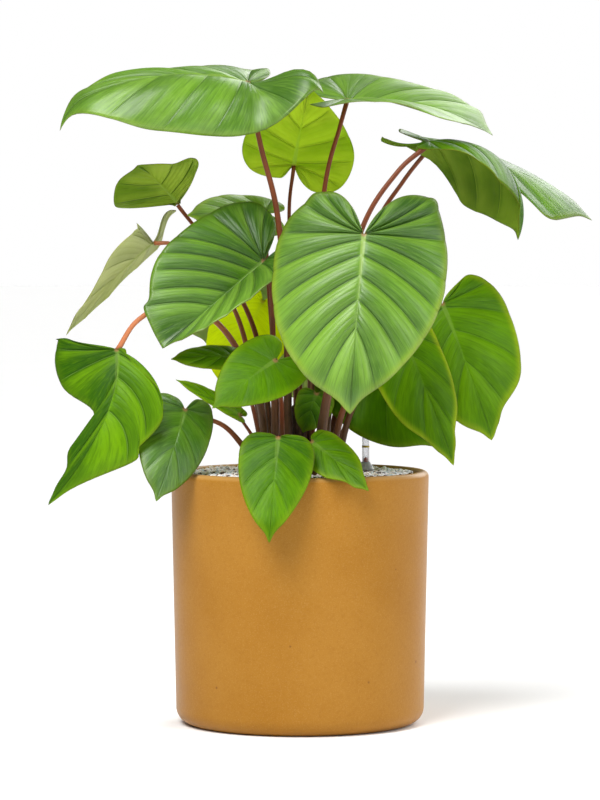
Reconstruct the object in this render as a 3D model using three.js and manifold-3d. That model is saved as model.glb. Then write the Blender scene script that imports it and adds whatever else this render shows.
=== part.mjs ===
// A potted homalomena: glazed pot, mineral substrate, leaves on petioles and a water-level gauge.
// Millimetres, +Z up. The origin is the middle of the pot's flat foot, and the front looks along -Y.
import * as THREE from 'three';
import { mergeVertices } from 'three/addons/utils/BufferGeometryUtils.js';
import Module from 'manifold-3d';

const wasm = await Module();
wasm.setup();

// Driving dimensions
const GAP = 0.3;
const POT = {
  height: 275,
  topRadius: 140,
  footRadius: 135,
  wall: 13,
  floor: 18,
  footRound: 18,
  innerRound: 14,
  sides: 48,
};
const SOIL = { level: 270, rings: 12, relief: 4.5, seed: 7 };
const HOLE_DEPTH = 15;
const HOLE_SIDES = 6;
const CUTTER_RISE = 15;
const ROOT_RISE = 3;
const BLADE_THICKNESS = 1.1;
const BLADE_ROWS = [0, 0.4, 0.75, 1];
const PETIOLE_SIDES = 6;
const PETIOLE_STEP = 34;
const PETIOLE_TAPER = 1.6;
const ROOF_SHARE = 0.62;
const CROWN = { x: -2, y: 2, radius: 12, height: 82, sides: 12, scars: 3, scarDepth: 5, taper: 0.35 };
const GAUGE = {
  x: 72,
  y: 30,
  seat: 3.2,
  guideRadius: 8,
  guideBore: 6,
  guideFoot: 34,
  domeRadius: 9.4,
  domeHeight: 9,
  socketRadius: 4.3,
  throatRadius: 3.2,
  throatDepth: 6,
  tubeRadius: 4,
  tubeBore: 3.1,
  tubeTop: 324,
  rodRadius: 1.2,
  bobRadius: 2.5,
  bobHeight: 283,
  bobHalf: 2.5,
  cone: 4,
  floatRadius: 5.4,
  floatFoot: 70,
  floatTop: 112,
  capDepth: 5,
  capHeight: 4.4,
  sides: 16,
};

// Margin breaks of a blade: the lobe ends and the widest place, as shares of the way from sinus to tip
const LOBE_END = 0.2;
const WIDEST = 0.49;

// The drawn-out tip that all blades have: place on the margin, width, change of the blade's width there
const TIP_BUMP = [0.955, 0.05, -0.35];

// Side veins: the first ones fan from the petiole, the others leave the midrib and sweep towards the tip
const FAN = 0.44;
const SWEEP = 1.4;
const RIB_SPAN = 0.7;
const VEIN_LEAN = 0.36;
const VEIN_REACH = 0.58;
const HUMP_TURN = 0.6;
const HOOK_START = 0.8;

// What a leaf has where its own entry doesn't say otherwise. Pairs are left and right of the midrib.
const USUAL = {
  half: 0.45,
  back: 0.25,
  lobe: 0.5,
  wide: 0.18,
  full: 0.8,
  bumps: [[], []],
  arch: 20,
  lobes: null,
  hump: 0,
  hook: 0,
  fold: [0, 0],
  curl: [0, 0],
  sway: 0,
  twist: 0,
  pleat: 0.016,
  wave: [0, 3, 0],
  veins: 6,
  stem: [4, 2.2],
};

// Leaves: base and tip of the blade, where its upper face looks (azimuth from the front, elevation),
// half widths and lobes as shares of its length, bends in degrees, and the petiole's route from its root
const LEAVES = [
  {
    name: 'top_left', base: [-56, -20, 695], tip: [-257, -50, 642], face: [-3, 72],
    half: [0.24, 0.36], back: [0.15, 0.3], full: [0.6, 0.3], arch: 50, lobes: [-160, 10],
    fold: [4, -5], curl: [-5, -82], root: [-14, -14],
    via: [[-14, -14, 430], [-24, -16, 550], [-42, -18, 625]], stem: [5.1, 2.7], twist: -6,
    bumps: [[[0.6, 0.12, -0.7], [0.82, 0.09, -0.3]], [[0.28, 0.1, -0.45], [0.75, 0.1, 0.1]]],
    lobe: [0.8, 0.5], hump: [0.01, 0.19], hook: 0.085,
  },
  {
    name: 'top_right', base: [51, 30, 678], tip: [210, 20, 639], face: [0, 78], half: [0.36, 0.45],
    back: [0.22, 0.28], arch: 40, lobes: -20, fold: [4, 13], curl: [0, -2], root: [10, 15],
    via: [[15, 18, 450], [27, 20, 583], [44, 24, 650]], stem: [4.9, 2.3],
    bumps: [
      [[0.35, 0.08, 0.12], [0.5, 0.12, -0.4], [0.75, 0.08, 0.5]],
      [[0.35, 0.1, 0.15], [0.62, 0.14, -0.3], [0.92, 0.06, 0.5]],
    ],
  },
  {
    name: 'far_right_high', base: [146, 80, 632], tip: [323, 80, 547], face: [66, 60],
    half: [0.38, 0.36], back: [0.06, 0.2], wide: [0.35, 0.2], arch: 28, fold: [-18, -6],
    curl: [-15, 0], root: [24, 14], via: [[42, 22, 420], [80, 52, 535], [114, 74, 590]],
    stem: [4.9, 2.3], bumps: [[[0.25, 0.2, -0.9], [0.6, 0.12, -0.5], [0.82, 0.08, 0.2]], []],
    lobes: -70, hook: 0.015,
  },
  {
    name: 'folded_right', base: [139, 2, 632], tip: [235, -28, 525], face: [109, 43],
    half: [0.33, 0.44], back: [0.08, 0.27], arch: 128, lobes: -210, fold: [-32, -37], curl: [0, 0],
    root: [18, -4], via: [[38, -4, 420], [67, -6, 537], [105, -3, 598]], stem: [4.9, 2.6],
    lobe: [0.4, 0.15], wide: [0.4, 0.32], bumps: [[[0.82, 0.1, -0.7]], [[0.32, 0.11, -0.9]]],
  },
  {
    name: 'young_back', base: [-7, 100, 608], tip: [11, 12, 694], face: [180, 50],
    half: [0.5, 0.52], back: [0.14, 0.24], wide: [0.26, 0.16], full: [0, 0], arch: 20,
    fold: [-5, -5], curl: [-10, -10], root: [-2, 30], via: [[-6, 46, 430], [-12, 78, 550]],
    stem: [4.4, 1.9], shade: 'young', lobe: [0.25, 0.5],
  },
  {
    name: 'upper_left', base: [-134, 50, 565], tip: [-176, -6, 606], face: [180, 50],
    half: [0.76, 0.78], back: [0, 0], arch: 30, fold: [-4, -4], curl: [-10, -10], root: [-28, 26],
    via: [[-48, 38, 420], [-95, 52, 510]], stem: [4.4, 2], wide: [0.25, 0.55], full: [0.9, 0.9],
    bumps: [[[0.27, 0.19, -0.9]], [[0.27, 0.17, -0.9]]], lobe: 0.2, wave: [0.05, 2.5, 0.1],
  },
  {
    name: 'far_left', base: [-160, 20, 523], tip: [-254, 0, 422], face: [-105, 35],
    half: [0.27, 0.58], back: [0.3, -0.06], lobe: [0.5, 1], wide: [0.18, 0.12], arch: 15,
    fold: [0, 0], curl: [0, 0], root: [-34, 12],
    via: [[-62, 12, 424], [-98, 14, 490], [-135, 18, 519]], stem: [4.4, 2], shade: 'pale',
    full: [0.8, 0.5], bumps: [[], [[0.2, 0.08, 0.2], [0.78, 0.14, -0.5]]], hump: [0.14, 0],
  },
  {
    name: 'front_left', base: [-39, -30, 502], tip: [-146, -90, 410], face: [15, 18],
    half: [0.54, 0.37], back: [0.33, 0.3], lobe: 0.5, wide: [0.32, 0.18], full: [1, 1], arch: 18,
    fold: [-2, 68], curl: [-12, -10], pleat: 0.024, veins: 10, root: [-26, -14],
    via: [[-29, -16, 416], [-32, -22, 480]], stem: [5.1, 2.5], bumps: [[[0.97, 0.07, 1.7]], []],
  },
  {
    name: 'front_centre', base: [67, -135, 531], tip: [52, -175, 344], face: [-3, 15],
    half: [0.5, 0.475], back: [0.27, 0.3], lobe: [0.5, 0.72], full: [0.8, 0.35], arch: 22,
    fold: [-7, -7], curl: [-16, -16], pleat: 0.027, veins: 10, root: [17, -46],
    via: [[30, -51, 361], [52, -95, 450]], stem: [6.6, 2.7],
    bumps: [[[0.29, 0.07, -0.12]], [[0.33, 0.07, -0.06]]], hook: 0.03,
  },
  {
    name: 'back_left_high', base: [-37, 40, 554], tip: [-123, 15, 552], face: [-8, 48],
    half: [0.42, 0.4], back: [0.3, 0.2], arch: 15, fold: [-5, -5], curl: [-5, -5], root: [-17, 13],
    via: [[-28, 20, 400], [-36, 36, 500]], stem: [4.6, 2.2],
  },
  {
    name: 'low_left', base: [-195, -79, 409], tip: [-267, -102, 244], face: [-12, 25],
    half: [0.48, 0.46], back: [0.2, 0], lobe: [0.9, 0.1], wide: [0.1, 0.5], full: [0.6, 0.6],
    arch: 15, sway: -0.65, fold: [-5, -5], curl: [-8, -8], root: [-38, -2],
    via: [[-44, -8, 350], [-80, -27, 426], [-130, -54, 458], [-172, -72, 440]], stem: [5, 2.7],
    bumps: [
      [[0.03, 0.1, 2], [0.66, 0.1, -0.78], [0.85, 0.1, -0.62]],
      [[0.3, 0.13, -0.75], [0.82, 0.07, 0.6]],
    ],
  },
  {
    name: 'rim_left', base: [-123, -60, 344], tip: [-152, -117, 249], face: [22, 25],
    half: [0.38, 0.32], back: [0.12, 0.2], arch: 20, fold: [-5, -5], curl: [-22, -8],
    root: [-40, -20], via: [[-78, -36, 322], [-112, -42, 336]], stem: [4.4, 2], full: [0.5, 0.6],
  },
  {
    name: 'front_small', base: [-26, -110, 398], tip: [-92, -150, 349], face: [0, 30],
    half: [0.44, 0.42], back: [0.3, 0.36], arch: 20, fold: [-5, -5], curl: [-8, -8],
    root: [-20, -36], via: [[-20, -70, 350]], stem: [4.3, 2], pleat: 0.008, full: [0.3, 0.3],
    wide: [0.1, 0.1], lobe: [0.6, 0.5],
  },
  {
    name: 'front_hanging', base: [-23, -134, 318], tip: [-32, -179, 210], face: [0, 20], half: 0.34,
    back: 0.05, full: [0.5, 0.2], arch: 20, fold: [-5, -5], curl: [-8, -8], root: [-8, -48],
    via: [[-14, -90, 310]], stem: [3.9, 2], pleat: 0.01, hook: 0.04,
  },
  {
    name: 'front_hanging_right', base: [12, -108, 312], tip: [72, -158, 263], face: [0, 30],
    half: [0.26, 0.27], back: 0.1, arch: 20, fold: [-5, -5], curl: [-8, -8], root: [4, -49],
    via: [[8, -85, 300]], stem: [3.7, 1.8], pleat: 0.01,
    bumps: [[[0.8, 0.1, -0.35]], [[0.86, 0.1, -0.3]]],
  },
  {
    name: 'right_shaded', base: [60, 50, 420], tip: [150, 12, 300], face: [0, 30],
    half: [0.48, 0.3], back: [0.1, 0.2], full: 1, arch: 10, fold: [-5, -5], curl: [-8, -8],
    root: [28, 30], via: [[44, 38, 360]], stem: [4.8, 2.2],
  },
  {
    name: 'right_front', base: [108, -20, 428], tip: [165, -50, 283], face: [5, 25],
    half: [0.3, 0.22], back: 0.2, full: [0.7, 0.7], arch: 20, fold: [-5, -5], curl: [-8, -8],
    root: [32, -18], via: [[48, -16, 345], [85, -14, 405]], stem: [4.8, 2.2],
    bumps: [[[0.85, 0.08, -0.25]], [[0.85, 0.08, -0.3]]], hook: 0.04,
  },
  {
    name: 'right', base: [155, 10, 456], tip: [208, -10, 308], face: [5, 25], half: [0.34, 0.435],
    back: 0.15, full: [0.9, 0.9], arch: 20, fold: [-5, -5], curl: [-8, -8], root: [38, 2],
    via: [[60, -6, 350], [118, 6, 430]], stem: [4.8, 2.2],
    bumps: [[], [[0.1, 0.08, 0.8], [0.87, 0.08, -0.42]]], hook: 0.03,
  },
  {
    name: 'left_inner', base: [-70, -50, 400], tip: [-138, -70, 398], face: [-10, 40], half: 0.25,
    back: 0.2, arch: 20, fold: [-5, -5], curl: [-8, -8], root: [-36, -36], via: [[-52, -45, 350]],
    stem: [3.2, 1.8],
  },
  {
    name: 'left_narrow', base: [-64, -70, 338], tip: [-132, -90, 377], face: [10, 40],
    half: [0.16, 0.1], back: 0.1, arch: 10, fold: [-5, -5], curl: [-8, -8], root: [-34, -50],
    via: [[-48, -62, 310]], stem: [3.2, 1.6],
  },
  {
    name: 'inner_small', base: [18, -22, 360], tip: [3, -27, 317], face: [10, 20],
    half: [0.42, 0.5], back: [0.05, 0.1], arch: 10, fold: [-5, -5], curl: [-8, -8], root: [10, -18],
    via: [[15, -17, 325]], stem: [2.8, 1.4],
  },
  {
    name: 'yellow', base: [-41, 70, 458], tip: [-86, 40, 362], face: [-10, 30], half: 0.45,
    back: 0.15, arch: 10, fold: [-5, -5], curl: [-8, -8], root: [-16, 38], via: [[-30, 68, 400]],
    stem: [3.6, 2], shade: 'young',
  },
  {
    name: 'back_right', base: [70, 110, 500], tip: [115, 205, 405], face: [160, 30], half: 0.45,
    back: 0.25, arch: 25, fold: [-5, -5], curl: [-10, -10], root: [14, 42], via: [[40, 80, 400]],
    stem: [4, 2.3],
  },
  {
    name: 'back_left', base: [-70, 115, 495], tip: [-105, 215, 405], face: [-160, 30], half: 0.45,
    back: 0.25, arch: 25, fold: [-5, -5], curl: [-10, -10], root: [-28, 46], via: [[-50, 85, 400]],
    stem: [4, 2.3],
  },
  {
    name: 'back_centre', base: [0, 140, 430], tip: [5, 235, 335], face: [180, 30], half: 0.42,
    back: 0.25, arch: 25, fold: [-5, -5], curl: [-10, -10], root: [2, 54], via: [[0, 100, 370]],
    stem: [4, 2.2],
  },
  {
    name: 'back_low_right', base: [85, 95, 385], tip: [135, 175, 305], face: [150, 30], half: 0.4,
    back: 0.2, arch: 20, fold: [-5, -5], curl: [-8, -8], root: [34, 46], via: [[58, 75, 340]],
    stem: [3.6, 2],
  },
];

const COLOURS = {
  glaze: 0xbe8c41,
  granules: 0xb9b2a6,
  leaf: 0x4f8a2c,
  young: 0x9dbb2e,
  pale: 0x98a860,
  petiole: 0x64321f,
  crown: 0x33241a,
  gauge: 0x8b8d90,
  clear: 0xdfe6e6,
  red: 0xb02818,
};

// Materials

function glaze() {
  return new THREE.MeshStandardMaterial({ color: COLOURS.glaze, roughness: 0.25, metalness: 0 });
}

function granules() {
  return new THREE.MeshStandardMaterial({ color: COLOURS.granules, roughness: 0.95, metalness: 0 });
}

function leafSkin(shade) {
  return new THREE.MeshStandardMaterial({ color: COLOURS[shade], roughness: 0.5, metalness: 0 });
}

function petioleSkin() {
  return new THREE.MeshStandardMaterial({ color: COLOURS.petiole, roughness: 0.5, metalness: 0 });
}

function crownBark() {
  return new THREE.MeshStandardMaterial({ color: COLOURS.crown, roughness: 0.85, metalness: 0 });
}

function gaugePlastic(colour) {
  return new THREE.MeshStandardMaterial({ color: colour, roughness: 0.4, metalness: 0 });
}

// Small helpers

function seeded(seed) {
  let state = seed >>> 0;
  return () => {
    state = (state + 0x6d2b79f5) >>> 0;
    let t = state;
    t = Math.imul(t ^ (t >>> 15), t | 1);
    t ^= t + Math.imul(t ^ (t >>> 7), t | 61);
    return ((t ^ (t >>> 14)) >>> 0) / 4294967296;
  };
}

function clamp01(value) {
  return Math.min(1, Math.max(0, value));
}

function radians(degrees) {
  return (degrees * Math.PI) / 180;
}

// One side's value of a field that may be a pair, left first
function ofSide(value, side) {
  return Array.isArray(value) ? value[side < 0 ? 0 : 1] : value;
}

// A closed mesh from loose triangles: equal corners are merged and flat triangles dropped
function closed(triangles) {
  const soup = new THREE.BufferGeometry();
  soup.setAttribute('position', new THREE.Float32BufferAttribute(triangles.flat(2), 3));
  const merged = mergeVertices(soup, 1e-3);
  const kept = [];
  for (let i = 0; i < merged.index.count; i += 3) {
    const [a, b, c] = [0, 1, 2].map((k) => merged.index.getX(i + k));
    if (a !== b && b !== c && c !== a) kept.push(a, b, c);
  }
  merged.setIndex(kept);
  return merged;
}

function toManifold(geometry) {
  const bare = geometry.clone();
  bare.deleteAttribute('normal');
  bare.deleteAttribute('uv');
  const merged = mergeVertices(bare, 1e-3);
  return new wasm.Manifold(new wasm.Mesh({
    numProp: 3,
    vertProperties: new Float32Array(merged.attributes.position.array),
    triVerts: new Uint32Array(merged.index.array),
  }));
}

function fromManifold(solid) {
  const mesh = solid.getMesh();
  const geometry = new THREE.BufferGeometry();
  geometry.setAttribute('position', new THREE.BufferAttribute(mesh.vertProperties, 3));
  geometry.setIndex(new THREE.BufferAttribute(mesh.triVerts, 1));
  return geometry;
}

// A turned solid round the Z axis from [radius, height] points
function turned(profile, sides) {
  const points = profile.map(([radius, height]) => new THREE.Vector2(radius, height));
  const geometry = new THREE.LatheGeometry(points, sides);
  geometry.rotateX(Math.PI / 2);
  return geometry;
}

// Points of an arc, [radius, height], from one angle to another in degrees
function arc(centre, radius, from, to, steps) {
  return Array.from({ length: steps + 1 }, (_, i) => {
    const angle = radians(from + ((to - from) * i) / steps);
    return [centre[0] + radius * Math.cos(angle), centre[1] + radius * Math.sin(angle)];
  });
}

// The pot's inner radius at a height above the rounded corner of its floor
function innerRadius(height) {
  const foot = POT.floor + POT.innerRound;
  const share = (height - foot) / (POT.height - POT.wall / 2 - foot);
  return POT.footRadius + (POT.topRadius - POT.footRadius) * share - POT.wall;
}

function potGeometry() {
  const round = POT.wall / 2;
  const corner = POT.floor + POT.innerRound;
  const profile = [
    [0, 0],
    ...arc([POT.footRadius - POT.footRound, POT.footRound], POT.footRound, -90, 0, 5),
    ...arc([POT.topRadius - round, POT.height - round], round, 0, 180, 6),
    ...arc([innerRadius(corner) - POT.innerRound, corner], POT.innerRound, 0, -90, 3),
    [0, POT.floor],
  ];
  return turned(profile, POT.sides);
}

// Granular filling: rings of six more points each, raised at random, on a plain body below
function substrateGeometry() {
  const random = seeded(SOIL.seed);
  const bottom = POT.floor + GAP;
  const cornerHeight = POT.floor + POT.innerRound;
  const flatSide = Math.cos(Math.PI / POT.sides);
  const topRadius = (innerRadius(SOIL.level) - GAP) * flatSide;
  const sideRadius = (innerRadius(cornerHeight) - GAP) * flatSide;
  const bottomRadius = (innerRadius(cornerHeight) - POT.innerRound - GAP) * flatSide;
  const count = (ring) => Math.max(1, 6 * ring);
  const rings = Array.from({ length: SOIL.rings + 1 }, (_, ring) => (
    Array.from({ length: count(ring) }, (_, k) => {
      const edge = ring === SOIL.rings;
      const jitter = edge ? 0 : 0.5 * (random() - 0.5);
      const angle = (2 * Math.PI * (k + jitter)) / count(ring);
      const radius = (topRadius * ring) / SOIL.rings;
      const height = SOIL.level + (edge ? 0 : SOIL.relief * (random() - 0.5));
      return [radius * Math.cos(angle), radius * Math.sin(angle), height];
    })
  ));
  const triangles = [];
  for (let ring = 0; ring < SOIL.rings; ring += 1) {
    const inner = rings[ring];
    const outer = rings[ring + 1];
    for (let sector = 0; sector < 6; sector += 1) {
      for (let k = 0; k <= ring; k += 1) {
        const a = inner[(sector * ring + k) % inner.length];
        const b = outer[(sector * (ring + 1) + k) % outer.length];
        const c = outer[(sector * (ring + 1) + k + 1) % outer.length];
        triangles.push([a, b, c]);
        if (k < ring) triangles.push([a, c, inner[(sector * ring + k + 1) % inner.length]]);
      }
    }
  }
  const rim = rings[SOIL.rings];
  const at = (radius, height, k) => {
    const angle = (2 * Math.PI * k) / rim.length;
    return [radius * Math.cos(angle), radius * Math.sin(angle), height];
  };
  for (let k = 0; k < rim.length; k += 1) {
    const next = (k + 1) % rim.length;
    const levels = [
      [rim[k], rim[next]],
      [at(sideRadius, cornerHeight, k), at(sideRadius, cornerHeight, next)],
      [at(bottomRadius, bottom, k), at(bottomRadius, bottom, next)],
    ];
    for (let level = 0; level < 2; level += 1) {
      const [upper, lower] = [levels[level], levels[level + 1]];
      triangles.push([upper[0], lower[0], lower[1]], [upper[0], lower[1], upper[1]]);
    }
    triangles.push([[0, 0, bottom], levels[2][1], levels[2][0]]);
  }
  return closed(triangles);
}

// A plain hole standing in the substrate, as a prism to cut with. Its flat sides clear the radius by the gap.
function holeCutter(x, y, radius, depth, sides) {
  const length = depth + CUTTER_RISE;
  const corner = (radius + GAP) / Math.cos(Math.PI / sides);
  const prism = new THREE.CylinderGeometry(corner, corner, length, sides);
  prism.rotateX(Math.PI / 2);
  prism.translate(x, y, SOIL.level - depth + length / 2);
  return toManifold(prism);
}

function cutSubstrate(leaves) {
  let solid = toManifold(substrateGeometry());
  for (const leaf of leaves) {
    const cutter = holeCutter(...leaf.root, leaf.stem[0], HOLE_DEPTH, HOLE_SIDES);
    solid = solid.subtract(cutter);
  }
  solid = solid.subtract(holeCutter(CROWN.x, CROWN.y, CROWN.radius, HOLE_DEPTH, CROWN.sides));
  const guideDepth = SOIL.level - GAUGE.guideFoot + GAP;
  solid = solid.subtract(holeCutter(GAUGE.x, GAUGE.y, GAUGE.guideRadius, guideDepth, GAUGE.sides));
  return fromManifold(solid);
}

// The short thick stem that the petioles grow from
function crownGeometry() {
  const foot = SOIL.level - HOLE_DEPTH + GAP;
  const top = SOIL.level + CROWN.height;
  const taper = (share) => CROWN.radius * (1 - CROWN.taper * share);
  const profile = [[0, foot], [CROWN.radius, foot], [CROWN.radius, SOIL.level]];
  for (let ring = 1; ring <= CROWN.scars; ring += 1) {
    const share = ring / CROWN.scars;
    const height = SOIL.level + share * (CROWN.height - CROWN.scarDepth);
    profile.push([taper(share) * 0.9, height - CROWN.scarDepth], [taper(share), height]);
  }
  profile.push([taper(1) * 0.5, top], [0, top]);
  const geometry = turned(profile, CROWN.sides);
  geometry.translate(CROWN.x, CROWN.y, 0);
  return geometry;
}

// Blade outline and shape

function cubic(points, t) {
  const s = 1 - t;
  const weights = [s * s * s, 3 * s * s * t, 3 * s * t * t, t * t * t];
  return [0, 1].map((axis) => points.reduce((sum, p, i) => sum + weights[i] * p[axis], 0));
}

// A point of the margin for a length of 1: a runs from the sinus, 0, round the lobe to the tip, 1
function marginPoint(leaf, a, side) {
  const back = ofSide(leaf.back, side);
  const half = ofSide(leaf.half, side);
  const full = ofSide(leaf.full, side);
  const wide = ofSide(leaf.wide, side);
  const crest = ofSide(leaf.lobe, side) * half;
  const bumps = leaf.bumps[side < 0 ? 0 : 1];
  let point;
  if (a < LOBE_END) {
    point = cubic([[0, 0], [-0.45 * back, 0.1 * half], [-back, 0.4 * crest], [-back, crest]], a / LOBE_END);
  } else if (a < WIDEST) {
    const turn = [-back, crest + 0.7 * (half - crest)];
    const rise = [wide - 0.55 * (back + wide), half];
    point = cubic([[-back, crest], turn, rise, [wide, half]], (a - LOBE_END) / (WIDEST - LOBE_END));
  } else {
    const shoulder = [wide + (0.35 + 0.15 * full) * (1 - wide), half];
    const flank = [0.74 + 0.08 * full, (0.4 + 0.36 * full) * half];
    point = cubic([[wide, half], shoulder, flank, [1, 0]], (a - WIDEST) / (1 - WIDEST));
  }
  for (const [place, width, amount] of [...bumps, TIP_BUMP]) {
    point[1] *= 1 + amount * Math.exp(-(((a - place) / width) ** 2));
  }
  return point;
}

// A point of the flat blade on the vein that ends at margin place a: b is 0 on the midrib, 1 at the margin
function flatPoint(leaf, a, b, side) {
  const [mu, mv] = marginPoint(leaf, a, side);
  const start = RIB_SPAN * clamp01((a - FAN) / (1 - FAN)) ** SWEEP;
  const bendU = start + VEIN_LEAN * (mu - start);
  const bendV = VEIN_REACH * mv;
  const s = 1 - b;
  return [s * s * start + 2 * b * s * bendU + b * b * mu, 2 * b * s * bendV + b * b * mv];
}

// Height of the blade over its smooth form: quilting between the veins, waves at the margin, humped lobes
function relief(leaf, a, b, side) {
  const back = ofSide(leaf.back, side);
  const [u] = flatPoint(leaf, a, b, side);
  const rear = back > 0 ? clamp01(-u / back) : 0;
  const hump = ofSide(leaf.hump, side) * Math.sin(HUMP_TURN * Math.PI * rear) ** 2;
  const quilt = Math.sin(0.88 * Math.PI * b ** 0.8) ** 0.8 * clamp01(8 * a) * clamp01(6 * (1 - a));
  const ridge = Math.abs(Math.sin(Math.PI * leaf.veins * a)) ** 0.8;
  const [height, count, phase] = leaf.wave;
  const turn = count * a + phase + (side > 0 ? 0.5 : 0);
  const edge = height * b ** 2.2 * Math.sin(2 * Math.PI * turn) * clamp01(5 * a) * clamp01(5 * (1 - a));
  return leaf.pleat * quilt * ridge + edge + hump;
}

// The bent blade for a length of 1: X along the midrib, Y to the side, Z out of the upper face
function bentPoint(leaf, u, v, lift, side) {
  const fold = radians(ofSide(leaf.fold, side));
  const curl = radians(ofSide(leaf.curl, side)) || 1e-4;
  const half = ofSide(leaf.half, side);
  const slope = fold + (curl * v) / half;
  const across = (half / curl) * (Math.sin(slope) - Math.sin(fold));
  const up = (-half / curl) * (Math.cos(slope) - Math.cos(fold));
  const ridgeTilt = radians(leaf.fold[1] - leaf.fold[0]) / 2;
  const blend = clamp01((6 * v) / half);
  const tilt = ridgeTilt * (1 - blend) + side * slope * blend;
  const y = side * across - Math.sin(tilt) * lift;
  const z = up + Math.cos(tilt) * lift;
  const lobes = leaf.lobes === null ? leaf.arch : ofSide(leaf.lobes, side);
  const bend = radians(u >= 0 ? leaf.arch : lobes) || 1e-4;
  const twist = radians(leaf.twist) * u;
  const side3 = y * Math.cos(twist) - z * Math.sin(twist);
  const hooked = leaf.hook * clamp01((u - HOOK_START) / (1 - HOOK_START)) ** 2;
  const up3 = y * Math.sin(twist) + z * Math.cos(twist) - hooked;
  const angle = bend * u;
  return new THREE.Vector3(
    Math.sin(angle) / bend + up3 * Math.sin(angle),
    side3 + leaf.sway * u * Math.abs(u),
    (Math.cos(angle) - 1) / bend + up3 * Math.cos(angle),
  );
}

// Unit vector that an azimuth from the front and an elevation point along
function facing([azimuth, elevation]) {
  const a = radians(azimuth);
  const e = radians(elevation);
  return new THREE.Vector3(Math.sin(a) * Math.cos(e), -Math.cos(a) * Math.cos(e), Math.sin(e));
}

// Matrix that sets the unit blade on its base point, with its tip in place and its face turned
function bladePlacing(leaf) {
  const tip = bentPoint(leaf, 1, 0, 0, 1);
  const base = new THREE.Vector3(...leaf.base);
  const span = new THREE.Vector3(...leaf.tip).sub(base);
  const axes = (along, face) => {
    const x = along.clone().normalize();
    const z = face.clone().addScaledVector(x, -face.dot(x)).normalize();
    const y = new THREE.Vector3().crossVectors(z, x);
    return new THREE.Matrix4().makeBasis(x, y, z);
  };
  const own = axes(tip, new THREE.Vector3(0, 0, 1));
  const wanted = axes(span, facing(leaf.face));
  const scale = span.length() / tip.length();
  return wanted.multiply(own.invert()).scale(new THREE.Vector3(scale, scale, scale)).setPosition(base);
}

// One blade: both faces are split alike, so that they never cross, and the margin is stitched
function bladeGeometry(leaf) {
  const placing = bladePlacing(leaf);
  const scale = placing.getMaxScaleOnAxis();
  const columns = 2 * leaf.veins;
  const triangles = [];
  for (const side of [-1, 1]) {
    const point = (i, j, lower) => {
      const a = i / columns;
      const b = BLADE_ROWS[j];
      const [u, v] = flatPoint(leaf, a, b, side);
      const lift = relief(leaf, a, b, side) - (lower ? BLADE_THICKNESS / scale : 0);
      return bentPoint(leaf, u, v, lift, side).applyMatrix4(placing).toArray();
    };
    const cell = (i, j, lower) => (
      [[i, j], [i + 1, j], [i + 1, j + 1], [i, j + 1]].map(([p, q]) => point(p, q, lower))
    );
    const add = (p, q, r) => triangles.push(side > 0 ? [p, q, r] : [p, r, q]);
    const last = BLADE_ROWS.length - 1;
    for (let i = 0; i < columns; i += 1) {
      for (let j = 0; j < last; j += 1) {
        const upper = cell(i, j, false);
        const lower = cell(i, j, true);
        add(upper[0], upper[1], upper[2]);
        add(upper[0], upper[2], upper[3]);
        add(lower[0], lower[2], lower[1]);
        add(lower[0], lower[3], lower[2]);
      }
      add(point(i, last, false), point(i + 1, last, false), point(i + 1, last, true));
      add(point(i, last, false), point(i + 1, last, true), point(i, last, true));
    }
  }
  return closed(triangles);
}

// Where the petiole meets the back of its blade, clear of it by the gap
function petioleEnd(leaf, route) {
  const placing = bladePlacing(leaf);
  const normal = new THREE.Vector3(0, 0, 1).transformDirection(placing);
  const base = new THREE.Vector3(...leaf.base);
  const arriving = base.clone().sub(route[route.length - 1]).normalize();
  const radius = leaf.stem[1];
  const lean = Math.sqrt(Math.max(0, 1 - normal.dot(arriving) ** 2));
  const roof = ROOF_SHARE * Math.max(0, -Math.sin(radians(Math.min(...leaf.fold))));
  return base.addScaledVector(normal, -(BLADE_THICKNESS + 1.5 * GAP + radius * (lean + roof)));
}

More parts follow.
